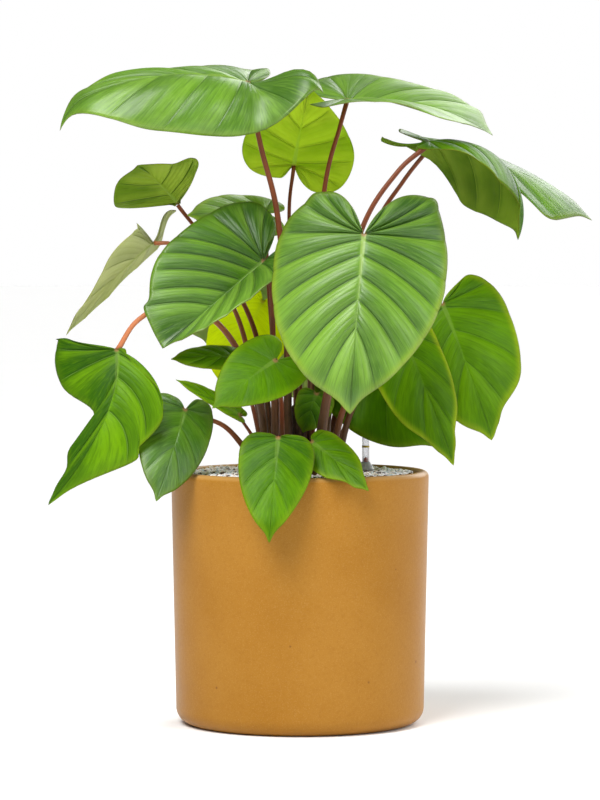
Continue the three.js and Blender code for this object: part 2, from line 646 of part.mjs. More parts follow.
// One petiole: straight in its hole, then along a smooth route to the blade, thicker towards its root
function petioleGeometry(leaf) {
  const [x, y] = leaf.root;
  const route = [[x, y, SOIL.level + ROOT_RISE], ...leaf.via].map((p) => new THREE.Vector3(...p));
  route.push(petioleEnd(leaf, route));
  const curve = new THREE.CatmullRomCurve3(route, false, 'catmullrom', 0.5);
  const steps = Math.max(3, Math.round(curve.getLength() / PETIOLE_STEP));
  const centres = [new THREE.Vector3(x, y, SOIL.level - HOLE_DEPTH + GAP)];
  const tangents = [new THREE.Vector3(0, 0, 1)];
  for (let i = 0; i <= steps; i += 1) {
    centres.push(curve.getPointAt(i / steps));
    tangents.push(i === 0 ? new THREE.Vector3(0, 0, 1) : curve.getTangentAt(i / steps));
  }
  const [rootRadius, topRadius] = leaf.stem;
  const across = new THREE.Vector3(1, 0, 0);
  const rings = centres.map((centre, i) => {
    const tangent = tangents[i];
    across.addScaledVector(tangent, -across.dot(tangent)).normalize();
    const other = new THREE.Vector3().crossVectors(tangent, across);
    const share = Math.max(0, i - 1) / steps;
    const radius = topRadius + (rootRadius - topRadius) * (1 - share) ** PETIOLE_TAPER;
    return Array.from({ length: PETIOLE_SIDES }, (_, k) => {
      const angle = (2 * Math.PI * k) / PETIOLE_SIDES;
      const offset = across.clone().multiplyScalar(radius * Math.cos(angle));
      offset.addScaledVector(other, radius * Math.sin(angle));
      return centre.clone().add(offset).toArray();
    });
  });
  const triangles = [];
  for (let i = 0; i + 1 < rings.length; i += 1) {
    for (let k = 0; k < PETIOLE_SIDES; k += 1) {
      const next = (k + 1) % PETIOLE_SIDES;
      triangles.push([rings[i][k], rings[i][next], rings[i + 1][next]]);
      triangles.push([rings[i][k], rings[i + 1][next], rings[i + 1][k]]);
    }
  }
  const [foot, top] = [rings[0], rings[rings.length - 1]];
  for (let k = 1; k + 1 < PETIOLE_SIDES; k += 1) {
    triangles.push([foot[0], foot[k + 1], foot[k]]);
    triangles.push([top[0], top[k], top[k + 1]]);
  }
  return closed(triangles);
}

// Water-level gauge

function gaugeGuide() {
  const g = GAUGE;
  const dome = SOIL.level + g.seat;
  const top = dome + g.domeHeight;
  const throat = dome - g.throatDepth;
  return turned([
    [g.guideBore, g.guideFoot],
    [g.guideRadius, g.guideFoot],
    [g.guideRadius, dome],
    [g.domeRadius, dome],
    [g.domeRadius, dome + 0.22 * g.domeHeight],
    [0.92 * g.domeRadius, dome + 0.5 * g.domeHeight],
    [0.72 * g.domeRadius, dome + 0.83 * g.domeHeight],
    [0.59 * g.domeRadius, top],
    [g.socketRadius, top],
    [g.socketRadius, dome],
    [g.throatRadius, dome],
    [g.throatRadius, throat],
    [g.guideBore, throat],
    [g.guideBore, g.guideFoot],
  ], g.sides);
}

function gaugeTube() {
  const g = GAUGE;
  const foot = SOIL.level + g.seat + GAP;
  return turned([
    [g.tubeBore, foot],
    [g.tubeRadius, foot],
    [g.tubeRadius, g.tubeTop],
    [g.tubeBore, g.tubeTop],
    [g.tubeBore, foot],
  ], g.sides);
}

function gaugeFloat() {
  const g = GAUGE;
  return turned([
    [0, g.floatFoot],
    [g.floatRadius, g.floatFoot],
    [g.floatRadius, g.floatTop],
    [g.rodRadius, g.floatTop + g.cone],
    [g.rodRadius, g.bobHeight - g.cone],
    [g.bobRadius, g.bobHeight - g.bobHalf],
    [g.bobRadius, g.bobHeight + g.bobHalf],
    [g.rodRadius, g.bobHeight + g.cone],
    [0, g.bobHeight + g.cone],
  ], g.sides);
}

function gaugeCap() {
  const g = GAUGE;
  const top = g.tubeTop + g.capHeight;
  return turned([
    [0, g.tubeTop - g.capDepth],
    [g.tubeBore - GAP, g.tubeTop - g.capDepth],
    [g.tubeBore - GAP, g.tubeTop + GAP],
    [1.2 * g.tubeRadius, g.tubeTop + GAP],
    [1.2 * g.tubeRadius, top - 0.35 * g.capHeight],
    [0.85 * g.tubeRadius, top],
    [0, top],
  ], g.sides);
}

// The assembly

const plant = new THREE.Group();

function place(name, geometry, material, x = 0, y = 0) {
  const mesh = new THREE.Mesh(geometry, material);
  mesh.name = name;
  mesh.position.set(x, y, 0);
  plant.add(mesh);
}

const leaves = LEAVES.map((leaf) => ({ ...USUAL, ...leaf }));

place('pot', potGeometry(), glaze());
place('substrate', cutSubstrate(leaves), granules());
place('crown', crownGeometry(), crownBark());
place('gauge_guide', gaugeGuide(), gaugePlastic(COLOURS.gauge), GAUGE.x, GAUGE.y);
place('gauge_tube', gaugeTube(), gaugePlastic(COLOURS.clear), GAUGE.x, GAUGE.y);
place('gauge_float', gaugeFloat(), gaugePlastic(COLOURS.red), GAUGE.x, GAUGE.y);
place('gauge_cap', gaugeCap(), gaugePlastic(COLOURS.gauge), GAUGE.x, GAUGE.y);
for (const leaf of leaves) {
  place(`petiole_${leaf.name}`, petioleGeometry(leaf), petioleSkin());
  place(`blade_${leaf.name}`, bladeGeometry(leaf), leafSkin(leaf.shade ?? 'leaf'));
}

export default plant;
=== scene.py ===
import math
import random

import bpy
import numpy as np
from mathutils import Matrix, Vector, noise


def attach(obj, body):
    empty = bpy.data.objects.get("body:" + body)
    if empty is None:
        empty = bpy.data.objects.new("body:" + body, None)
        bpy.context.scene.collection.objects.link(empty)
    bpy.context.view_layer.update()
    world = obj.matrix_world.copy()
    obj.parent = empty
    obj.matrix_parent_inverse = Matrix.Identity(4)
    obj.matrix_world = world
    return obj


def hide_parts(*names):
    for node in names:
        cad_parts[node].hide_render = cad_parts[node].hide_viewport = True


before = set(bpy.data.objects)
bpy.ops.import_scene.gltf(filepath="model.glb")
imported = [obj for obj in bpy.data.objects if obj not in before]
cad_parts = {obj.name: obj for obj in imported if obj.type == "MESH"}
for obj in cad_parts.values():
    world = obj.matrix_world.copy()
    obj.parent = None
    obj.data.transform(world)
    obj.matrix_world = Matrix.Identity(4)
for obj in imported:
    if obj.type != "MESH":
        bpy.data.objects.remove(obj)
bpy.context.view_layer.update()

# Driving dimensions, as in the part's source
MM = 0.001
GAP = 0.3
POT = dict(
    height=275, top_radius=140, foot_radius=135, wall=13, floor=18, foot_round=18, inner_round=14,
)
SOIL = dict(level=270)
HOLE_DEPTH = 15
ROOT_RISE = 3
CROWN = dict(x=-2, y=2, radius=12, height=82, taper=0.35)
GAUGE = dict(
    x=72, y=30, seat=3.2, guide_radius=8, guide_bore=6, guide_foot=34, dome_radius=9.4, dome_height=9,
    socket_radius=4.3, throat_radius=3.2, throat_depth=6, tube_radius=4, tube_bore=3.1, tube_top=324,
    rod_radius=1.2, bob_radius=2.5, bob_height=283, bob_half=2.5, cone=4, float_radius=5.4, float_foot=70,
    float_top=112, cap_depth=5, cap_height=4.4,
)
GAUGE_RINGS = (299, 313.5)

# Leaf form. Places on the margin run from the sinus, 0, to the tip, 1
LOBE_END = 0.2
WIDEST = 0.49
TIP_BUMP = (0.955, 0.05, -0.35)
FAN = 0.44
SWEEP = 1.4
RIB_SPAN = 0.7
VEIN_LEAN = 0.36
VEIN_REACH = 0.58
HUMP_TURN = 0.6
HOOK_START = 0.8

# Thickness of the blades, how fine the leaves are, and how the petioles taper
BLADE_THICKNESS = 0.7
BLADE_ROWS = 26
ROW_CROWDING = 1.35
COLUMNS_PER_VEIN = 10
PETIOLE_SIDES = 20
PETIOLE_STEP = 5
PETIOLE_TAPER = 1.6
SHEATH_SHARE = 0.34
ROOF_SHARE = 0.62
RIPPLE = 0.008

# Stand-ins for a bend of nothing and for a radius of nothing
STRAIGHT = 1e-4
ON_AXIS = 1e-6

# Loose stones: how far apart, how large, and the ball that they are dented from
STONE_PITCH = 4.3
STONE_SIZES = (4.0, 7.2)
BALL_REACH = 1.9
BALL_EDGE = 2.1

# What a leaf has where its own entry doesn't say otherwise. Pairs are left and right of the midrib.
# A leaf's tone is partly its own shade of green and partly painted light and shade: raised for leaves or
# halves that face the light, lowered for those in shade
USUAL = dict(
    half=0.45, back=0.25, lobe=0.5, wide=0.18, full=0.8, bumps=((), ()), arch=20, lobes=None,
    hump=0, hook=0, fold=(-5, -5), curl=(-8, -8), sway=0, twist=0, pleat=0.016, wave=(0, 3, 0),
    veins=6, stem=(4, 2.2), look="leaf", tone_and_light=0, gold=0.3, creased=0.8, ribbed=0.6,
)

# Leaves: base and tip of the blade, where its upper face looks (azimuth from the front, elevation),
# half widths and lobes as shares of its length, bends in degrees, and the petiole's route from its root
LEAVES = [
    dict(
        name="top_left", base=(-56, -20, 695), tip=(-257, -50, 642), face=(-3, 72), half=(0.24, 0.36),
        back=(0.15, 0.3), full=(0.6, 0.3), arch=50, lobes=(-160, 10), fold=(4, -5), curl=(-5, -82),
        root=(-14, -14), via=((-14, -14, 430), (-24, -16, 550), (-42, -18, 625)), stem=(5.1, 2.7),
        twist=-6, bumps=(((0.6, 0.12, -0.7), (0.82, 0.09, -0.3)), ((0.28, 0.1, -0.45), (0.75, 0.1, 0.1))),
        lobe=(0.8, 0.5), hump=(0.01, 0.19), tone_and_light=0.2, ribbed=0.55, gold=0.15, hook=0.085,
    ),
    dict(
        name="top_right", base=(51, 30, 678), tip=(210, 20, 639), face=(0, 78), half=(0.36, 0.45),
        back=(0.22, 0.28), arch=40, lobes=-20, fold=(4, 13), curl=(0, -2), root=(10, 15),
        via=((15, 18, 450), (27, 20, 583), (44, 24, 650)), stem=(4.9, 2.3),
        bumps=(
            ((0.35, 0.08, 0.12), (0.5, 0.12, -0.4), (0.75, 0.08, 0.5)),
            ((0.35, 0.1, 0.15), (0.62, 0.14, -0.3), (0.92, 0.06, 0.5)),
        ),
        tone_and_light=0.45, ribbed=0.4, gold=0.1,
    ),
    dict(
        name="far_right_high", base=(146, 80, 632), tip=(323, 80, 547), face=(66, 60), half=(0.38, 0.36),
        back=(0.06, 0.2), wide=(0.35, 0.2), arch=28, fold=(-18, -6), curl=(-15, 0), root=(24, 14),
        via=((42, 22, 420), (80, 52, 535), (114, 74, 590)), stem=(4.9, 2.3),
        bumps=(((0.25, 0.2, -0.9), (0.6, 0.12, -0.5), (0.82, 0.08, 0.2)), ()), lobes=-70, creased=0.7,
        ribbed=0.35, hook=0.015, tone_and_light=-0.25,
    ),
    dict(
        name="folded_right", base=(139, 2, 632), tip=(235, -28, 525), face=(109, 43), half=(0.33, 0.44),
        back=(0.08, 0.27), arch=128, lobes=-210, fold=(-32, -37), root=(18, -4),
        via=((38, -4, 420), (67, -6, 537), (105, -3, 598)), stem=(4.9, 2.6), lobe=(0.4, 0.15),
        wide=(0.4, 0.32), bumps=(((0.82, 0.1, -0.7),), ((0.32, 0.11, -0.9),)), look="fresh", tone_and_light=-0.8,
        curl=(0, 0),
    ),
    dict(
        name="young_back", base=(-7, 100, 608), tip=(11, 12, 694), face=(180, 50), half=(0.5, 0.52),
        back=(0.14, 0.24), wide=(0.26, 0.16), full=(0, 0), curl=(-10, -10), root=(-2, 30),
        via=((-6, 46, 430), (-12, 78, 550)), stem=(4.4, 1.9), creased=1.5, ribbed=0.8, lobe=(0.25, 0.5),
        look="young",
    ),
    dict(
        name="upper_left", base=(-134, 50, 565), tip=(-176, -6, 606), face=(180, 50), half=(0.76, 0.78),
        back=(0, 0), arch=30, fold=(-4, -4), curl=(-10, -10), root=(-28, 26),
        via=((-48, 38, 420), (-95, 52, 510)), stem=(4.4, 2), wide=(0.25, 0.55), full=(0.9, 0.9),
        bumps=(((0.27, 0.19, -0.9),), ((0.27, 0.17, -0.9),)), lobe=0.2, look="fresh", creased=1.3,
        wave=(0.05, 2.5, 0.1),
    ),
    dict(
        name="far_left", base=(-160, 20, 523), tip=(-254, 0, 422), face=(-105, 35), half=(0.27, 0.58),
        back=(0.3, -0.06), lobe=(0.5, 1), wide=(0.18, 0.12), arch=15, root=(-34, 12),
        via=((-62, 12, 424), (-98, 14, 490), (-135, 18, 519)), stem=(4.4, 2), full=(0.8, 0.5),
        bumps=((), ((0.2, 0.08, 0.2), (0.78, 0.14, -0.5))), hump=(0.14, 0), creased=1.4, look="pale",
        fold=(0, 0), curl=(0, 0),
    ),
    dict(
        name="front_left", base=(-39, -30, 502), tip=(-146, -90, 410), face=(15, 18), half=(0.54, 0.37),
        back=(0.33, 0.3), wide=(0.32, 0.18), full=(1, 1), arch=18, fold=(-2, 68), curl=(-12, -10),
        pleat=0.024, veins=10, root=(-26, -14), via=((-29, -16, 416), (-32, -22, 480)), stem=(5.1, 2.5),
        bumps=(((0.97, 0.07, 1.7),), ()), tone_and_light=(-0.3, -0.05), creased=1.2, ribbed=0.35, gold=0.1,
    ),
    dict(
        name="front_centre", base=(67, -135, 531), tip=(52, -175, 344), face=(-3, 15), half=(0.5, 0.475),
        back=(0.27, 0.3), lobe=(0.5, 0.72), full=(0.8, 0.35), arch=22, fold=(-7, -7), curl=(-16, -16),
        pleat=0.027, veins=10, root=(17, -46), via=((30, -51, 361), (52, -95, 450)), stem=(6.6, 2.7),
        tone_and_light=(0.35, -0.05), creased=1.2, ribbed=0.8, gold=0.35,
        bumps=(((0.29, 0.07, -0.12),), ((0.33, 0.07, -0.06),)), hook=0.03,
    ),
    dict(
        name="back_left_high", base=(-37, 40, 554), tip=(-123, 15, 552), face=(-8, 48), half=(0.42, 0.4),
        back=(0.3, 0.2), arch=15, curl=(-5, -5), root=(-17, 13), via=((-28, 20, 400), (-36, 36, 500)),
        stem=(4.6, 2.2), tone_and_light=1, creased=0.7, ribbed=0.2,
    ),
    dict(
        name="low_left", base=(-195, -79, 409), tip=(-267, -102, 244), face=(-12, 25), half=(0.48, 0.46),
        back=(0.2, 0), lobe=(0.9, 0.1), wide=(0.1, 0.5), full=(0.6, 0.6), arch=15, sway=-0.65,
        root=(-38, -2), via=((-44, -8, 350), (-80, -27, 426), (-130, -54, 458), (-172, -72, 440)),
        stem=(5, 2.7),
        bumps=(
            ((0.03, 0.1, 2), (0.66, 0.1, -0.78), (0.85, 0.1, -0.62)),
            ((0.3, 0.13, -0.75), (0.82, 0.07, 0.6)),
        ),
        tone_and_light=(-1.3, 0.15), creased=1.1, ribbed=0.3, gold=0.2, look="fresh",
    ),
    dict(
        name="rim_left", base=(-123, -60, 344), tip=(-152, -117, 249), face=(22, 25), half=(0.38, 0.32),
        back=(0.12, 0.2), curl=(-22, -8), root=(-40, -20), via=((-78, -36, 322), (-112, -42, 336)),
        stem=(4.4, 2), full=(0.5, 0.6), tone_and_light=-0.3, creased=0.5, ribbed=0.3, gold=0.15,
    ),
    dict(
        name="front_small", base=(-26, -110, 398), tip=(-92, -150, 349), face=(0, 30), half=(0.44, 0.42),
        back=(0.3, 0.36), root=(-20, -36), via=((-20, -70, 350),), stem=(4.3, 2), creased=0.22,
        ribbed=0.3, tone_and_light=0.05, pleat=0.008, gold=0.15, look="fresh", full=(0.3, 0.3), wide=(0.1, 0.1),
        lobe=(0.6, 0.5),
    ),
    dict(
        name="front_hanging", base=(-23, -134, 318), tip=(-32, -179, 210), face=(0, 20), half=0.34,
        back=0.05, full=(0.5, 0.2), root=(-8, -48), via=((-14, -90, 310),), stem=(3.9, 2), creased=0.5,
        ribbed=0.3, gold=0.2, pleat=0.01, look="fresh", tone_and_light=-0.15, hook=0.04,
    ),
    dict(
        name="front_hanging_right", base=(12, -108, 312), tip=(72, -158, 263), face=(0, 30),
        half=(0.26, 0.27), back=0.1, root=(4, -49), via=((8, -85, 300),), stem=(3.7, 1.8), creased=0.45,
        ribbed=0.3, pleat=0.01, look="fresh", tone_and_light=0.1,
        bumps=(((0.8, 0.1, -0.35),), ((0.86, 0.1, -0.3),)),
    ),
    dict(
        name="right_shaded", base=(60, 50, 420), tip=(150, 12, 300), face=(0, 30), half=(0.48, 0.3),
        back=(0.1, 0.2), full=1, arch=10, root=(28, 30), via=((44, 38, 360),), stem=(4.8, 2.2), tone_and_light=-0.4,
        creased=0.5, ribbed=0.2, look="fresh",
    ),
    dict(
        name="right_front", base=(108, -20, 428), tip=(165, -50, 283), face=(5, 25), half=(0.3, 0.22),
        back=0.2, full=(0.7, 0.7), root=(32, -18), via=((48, -16, 345), (85, -14, 405)), stem=(4.8, 2.2),
        bumps=(((0.85, 0.08, -0.25),), ((0.85, 0.08, -0.3),)), creased=0.6, ribbed=0.25, gold=0.6,
        look="fresh", hook=0.04,
    ),
    dict(
        name="right", base=(155, 10, 456), tip=(208, -10, 308), face=(5, 25), half=(0.34, 0.435),
        back=0.15, full=(0.9, 0.9), root=(38, 2), via=((60, -6, 350), (118, 6, 430)), stem=(4.8, 2.2),
        bumps=((), ((0.1, 0.08, 0.8), (0.87, 0.08, -0.42))), tone_and_light=0.15, creased=0.7, ribbed=0.35,
        gold=0.5, look="fresh", hook=0.03,
    ),
    dict(
        name="left_inner", base=(-70, -50, 400), tip=(-138, -70, 398), face=(-10, 40), half=0.25,
        back=0.2, root=(-36, -36), via=((-52, -45, 350),), stem=(3.2, 1.8), creased=0.5, ribbed=0.2,
        look="fresh",
    ),
    dict(
        name="left_narrow", base=(-64, -70, 338), tip=(-132, -90, 377), face=(10, 40), half=(0.16, 0.1),
        back=0.1, arch=10, root=(-34, -50), via=((-48, -62, 310),), stem=(3.2, 1.6), creased=0.5,
        ribbed=0.2, look="fresh", tone_and_light=0.3,
    ),
    dict(
        name="inner_small", base=(18, -22, 360), tip=(3, -27, 317), face=(10, 20), half=(0.42, 0.5),
        back=(0.05, 0.1), arch=10, root=(10, -18), via=((15, -17, 325),), stem=(2.8, 1.4), tone_and_light=-0.6,
        creased=0.5, ribbed=0.2, look="fresh",
    ),
    dict(
        name="yellow", base=(-41, 70, 458), tip=(-86, 40, 362), face=(-10, 30), back=0.15, arch=10,
        root=(-16, 38), via=((-30, 68, 400),), stem=(3.6, 2), look="yellow", creased=0.25, ribbed=0.3,
    ),
    dict(
        name="back_right", base=(70, 110, 500), tip=(115, 205, 405), face=(160, 30), arch=25,
        curl=(-10, -10), root=(14, 42), via=((40, 80, 400),), stem=(4, 2.3),
    ),
    dict(
        name="back_left", base=(-70, 115, 495), tip=(-105, 215, 405), face=(-160, 30), arch=25,
        curl=(-10, -10), root=(-28, 46), via=((-50, 85, 400),), stem=(4, 2.3),
    ),
    dict(
        name="back_centre", base=(0, 140, 430), tip=(5, 235, 335), face=(180, 30), half=0.42, arch=25,
        curl=(-10, -10), root=(2, 54), via=((0, 100, 370),),
    ),
    dict(
        name="back_low_right", base=(85, 95, 385), tip=(135, 175, 305), face=(150, 30), half=0.4,
        back=0.2, root=(34, 46), via=((58, 75, 340),), stem=(3.6, 2),
    ),
]

# Stalks that turn amber towards the blade, and how far
AMBER_STALKS = dict(low_left=0.9, far_left=0.5, rim_left=0.6, right_front=0.3, front_hanging=0.3)

# Linear colours
HONEY = (0.325, 0.142, 0.015)
HONEY_WARM = (0.36, 0.165, 0.022)
HONEY_DARK = (0.27, 0.11, 0.010)
HONEY_PALE = (0.58, 0.34, 0.12)
PIN_SPOT = (0.16, 0.06, 0.015)
PALETTES = dict(
    leaf=dict(
        dark=(0.034, 0.120, 0.002), mid=(0.088, 0.250, 0.004), light=(0.26, 0.48, 0.05),
        under_dark=(0.13, 0.24, 0.010), under_light=(0.27, 0.38, 0.04), glow=(0.34, 0.52, 0.01),
        through=0.22, shine=0.6,
    ),
    fresh=dict(
        dark=(0.036, 0.130, 0.001), mid=(0.090, 0.255, 0.001), light=(0.20, 0.41, 0.004),
        under_dark=(0.075, 0.18, 0.003), under_light=(0.40, 0.54, 0.05), glow=(0.36, 0.58, 0.004),
        through=0.28, shine=0.12,
    ),
    young=dict(
        dark=(0.20, 0.34, 0.003), mid=(0.32, 0.48, 0.005), light=(0.46, 0.60, 0.015),
        under_dark=(0.20, 0.38, 0.002), under_light=(0.66, 0.78, 0.05), glow=(0.66, 0.88, 0.01),
        through=0.5, shine=0.3,
    ),
    # A yellowing leaf, its colours made brighter than its own yellow: painted light for a leaf that sits
    # in the shade of others
    yellow=dict(
        dark=(0.62, 0.74, 0.004), mid=(0.74, 0.84, 0.008), light=(0.84, 0.90, 0.03),
        under_dark=(0.62, 0.74, 0.004), under_light=(0.80, 0.88, 0.02), glow=(0.86, 1.0, 0.01),
        through=0.7, shine=0.1,
    ),
    pale=dict(
        dark=(0.44, 0.50, 0.18), mid=(0.56, 0.61, 0.27), light=(0.72, 0.75, 0.42),
        under_dark=(0.50, 0.56, 0.22), under_light=(0.70, 0.73, 0.40), glow=(0.66, 0.72, 0.20),
        through=0.4, shine=0.4,
    ),
)
LEAF_SLOTS = dict(
    leaf="leaf_green", fresh="leaf_green", young="leaf_young", yellow="leaf_young", pale="leaf_pale",
)
# Deep green: the darker streaks of the veinlets, and painted shade in the creases, at the lobes and on
# leaves in shade
LEAF_DEEP_AND_SHADE = (0.018, 0.075, 0.002)
LEAF_GOLD = (0.60, 0.68, 0.02)
# Pale green of the vein edges, laid beside the creases as a painted highlight as well
VEIN_PALE_AND_HIGHLIGHT = (0.26, 0.42, 0.09)
RIB_PALE = (0.38, 0.54, 0.11)
SPOT_PINK = (0.34, 0.15, 0.07)
MARGIN_BROWN = (0.15, 0.05, 0.015)
PETIOLE_MAROON = (0.165, 0.036, 0.008)
PETIOLE_BROWN = (0.085, 0.040, 0.012)
PETIOLE_LINE = (0.30, 0.115, 0.035)
PETIOLE_AMBER = (0.50, 0.17, 0.065)
SHEATH_PINK = (0.44, 0.20, 0.11)
STEM_DARK = (0.040, 0.018, 0.008)
STEM_FIBRE = (0.13, 0.06, 0.03)
MOSS = (0.055, 0.085, 0.02)
FLOOR_PALE = (0.955, 0.955, 0.95)
FLOOR_CLOUD = (0.975, 0.975, 0.97)
CLEAR_TINT = (0.97, 0.97, 0.98)
CLEAR_GLOSS = (0.88, 0.88, 0.92)

# Stone families: their darker, lighter and speck colours
STONES = dict(
    grit_mixed=((0.11, 0.09, 0.07), (0.26, 0.22, 0.18), (0.035, 0.025, 0.02)),
    grit_white=((0.97, 0.93, 0.95), (1.0, 0.98, 0.99), (0.80, 0.74, 0.73)),
    grit_beige=((0.80, 0.66, 0.54), (0.92, 0.84, 0.76), (0.46, 0.34, 0.26)),
    grit_blue=((0.58, 0.68, 0.74), (0.74, 0.82, 0.88), (0.32, 0.40, 0.44)),
    grit_brown=((0.06, 0.035, 0.03), (0.16, 0.10, 0.08), (0.02, 0.012, 0.01)),
)
STONE_SHARES = dict(grit_white=0.5, grit_beige=0.24, grit_blue=0.1, grit_brown=0.16)

# Plastics: colour, darker colour, roughness
PLASTICS = dict(
    gauge_grey_plastic=((0.50, 0.51, 0.54), (0.30, 0.30, 0.33), 0.35),
    ring_yellow_ink=((0.75, 0.52, 0.05), (0.55, 0.35, 0.03), 0.4),
    bob_red_plastic=((0.45, 0.03, 0.02), (0.25, 0.015, 0.01), 0.3),
)


# Node networks

class Network:
    """Writes a material's nodes with few words."""

    def __init__(self, name):
        self.material = bpy.data.materials.new(name)
        self.material.use_nodes = True
        self.tree = self.material.node_tree
        self.tree.nodes.clear()
        self.output = self.tree.nodes.new("ShaderNodeOutputMaterial")

    def put(self, socket, value):
        if isinstance(value, bpy.types.NodeSocket):
            self.tree.links.new(value, socket)
        elif isinstance(value, (tuple, list)) and len(value) == 3 and socket.type == "RGBA":
            socket.default_value = (*value, 1)
        else:
            socket.default_value = value

    def node(self, kind, settings=None, **inputs):
        made = self.tree.nodes.new(kind)
        for key, value in (settings or {}).items():
            setattr(made, key, value)
        for key, value in inputs.items():
            self.put(made.inputs[key.replace("_", " ")], value)
        return made

    def attribute(self, name):
        return self.node("ShaderNodeAttribute", dict(attribute_name=name)).outputs["Fac"]

    def place(self):
        return self.node("ShaderNodeTexCoord").outputs["Object"]

    def maths(self, operation, first, second=0.0, clamp=False):
        made = self.node("ShaderNodeMath", dict(operation=operation, use_clamp=clamp))
        self.put(made.inputs[0], first)
        self.put(made.inputs[1], second)
        return made.outputs[0]

    def times(self, first, second):
        return self.maths("MULTIPLY", first, second)

    def plus(self, first, second):
        return self.maths("ADD", first, second)

    def less(self, first, second):
        return self.maths("SUBTRACT", first, second)

    def share(self, value, times=1.0):
        """The value times a number, kept between 0 and 1."""
        return self.maths("MULTIPLY", value, times, clamp=True)

    def step(self, value, low, high, start=0.0, end=1.0):
        """Smooth step from start to end as the value goes from low to high."""
        made = self.node("ShaderNodeMapRange", dict(interpolation_type="SMOOTHSTEP"))
        for socket, number in zip(made.inputs, (value, low, high, start, end)):
            self.put(socket, number)
        return made.outputs[0]

    def mix(self, share, first, second):
        made = self.node("ShaderNodeMix", dict(data_type="RGBA"))
        self.put(made.inputs["Factor"], share)
        self.put(made.inputs[6], first)
        self.put(made.inputs[7], second)
        return made.outputs[2]

    def layered(self, colour, *layers):
        """The colour with each layer's tint laid over it in turn, by the layer's share."""
        for share, tint in layers:
            colour = self.mix(share, colour, tint)
        return colour

    def vector(self, x, y, z):
        return self.node("ShaderNodeCombineXYZ", X=x, Y=y, Z=z).outputs[0]

    def stretched(self, vector, scale):
        made = self.node("ShaderNodeMapping")
        self.put(made.inputs["Vector"], vector)
        made.inputs["Scale"].default_value = scale
        return made.outputs[0]

    def noise(self, vector, scale, detail=3.0, roughness=0.55):
        settings = dict(Vector=vector, Scale=scale, Detail=detail, Roughness=roughness)
        return self.node("ShaderNodeTexNoise", **settings).outputs["Fac"]

    def cells(self, vector, scale):
        return self.node("ShaderNodeTexVoronoi", Vector=vector, Scale=scale).outputs["Distance"]

    def bump(self, height, distance, strength=1.0):
        made = self.node("ShaderNodeBump", Height=height, Distance=distance, Strength=strength)
        return made.outputs[0]

    def surface(self, colour, roughness, normal=None, **others):
        shader = self.node("ShaderNodeBsdfPrincipled", Roughness=roughness, **others)
        self.put(shader.inputs["Base Color"], colour)
        if normal is not None:
            self.put(shader.inputs["Normal"], normal)
        return shader.outputs[0]

    def finish(self, shader):
        self.tree.links.new(shader, self.output.inputs["Surface"])
        return self.material


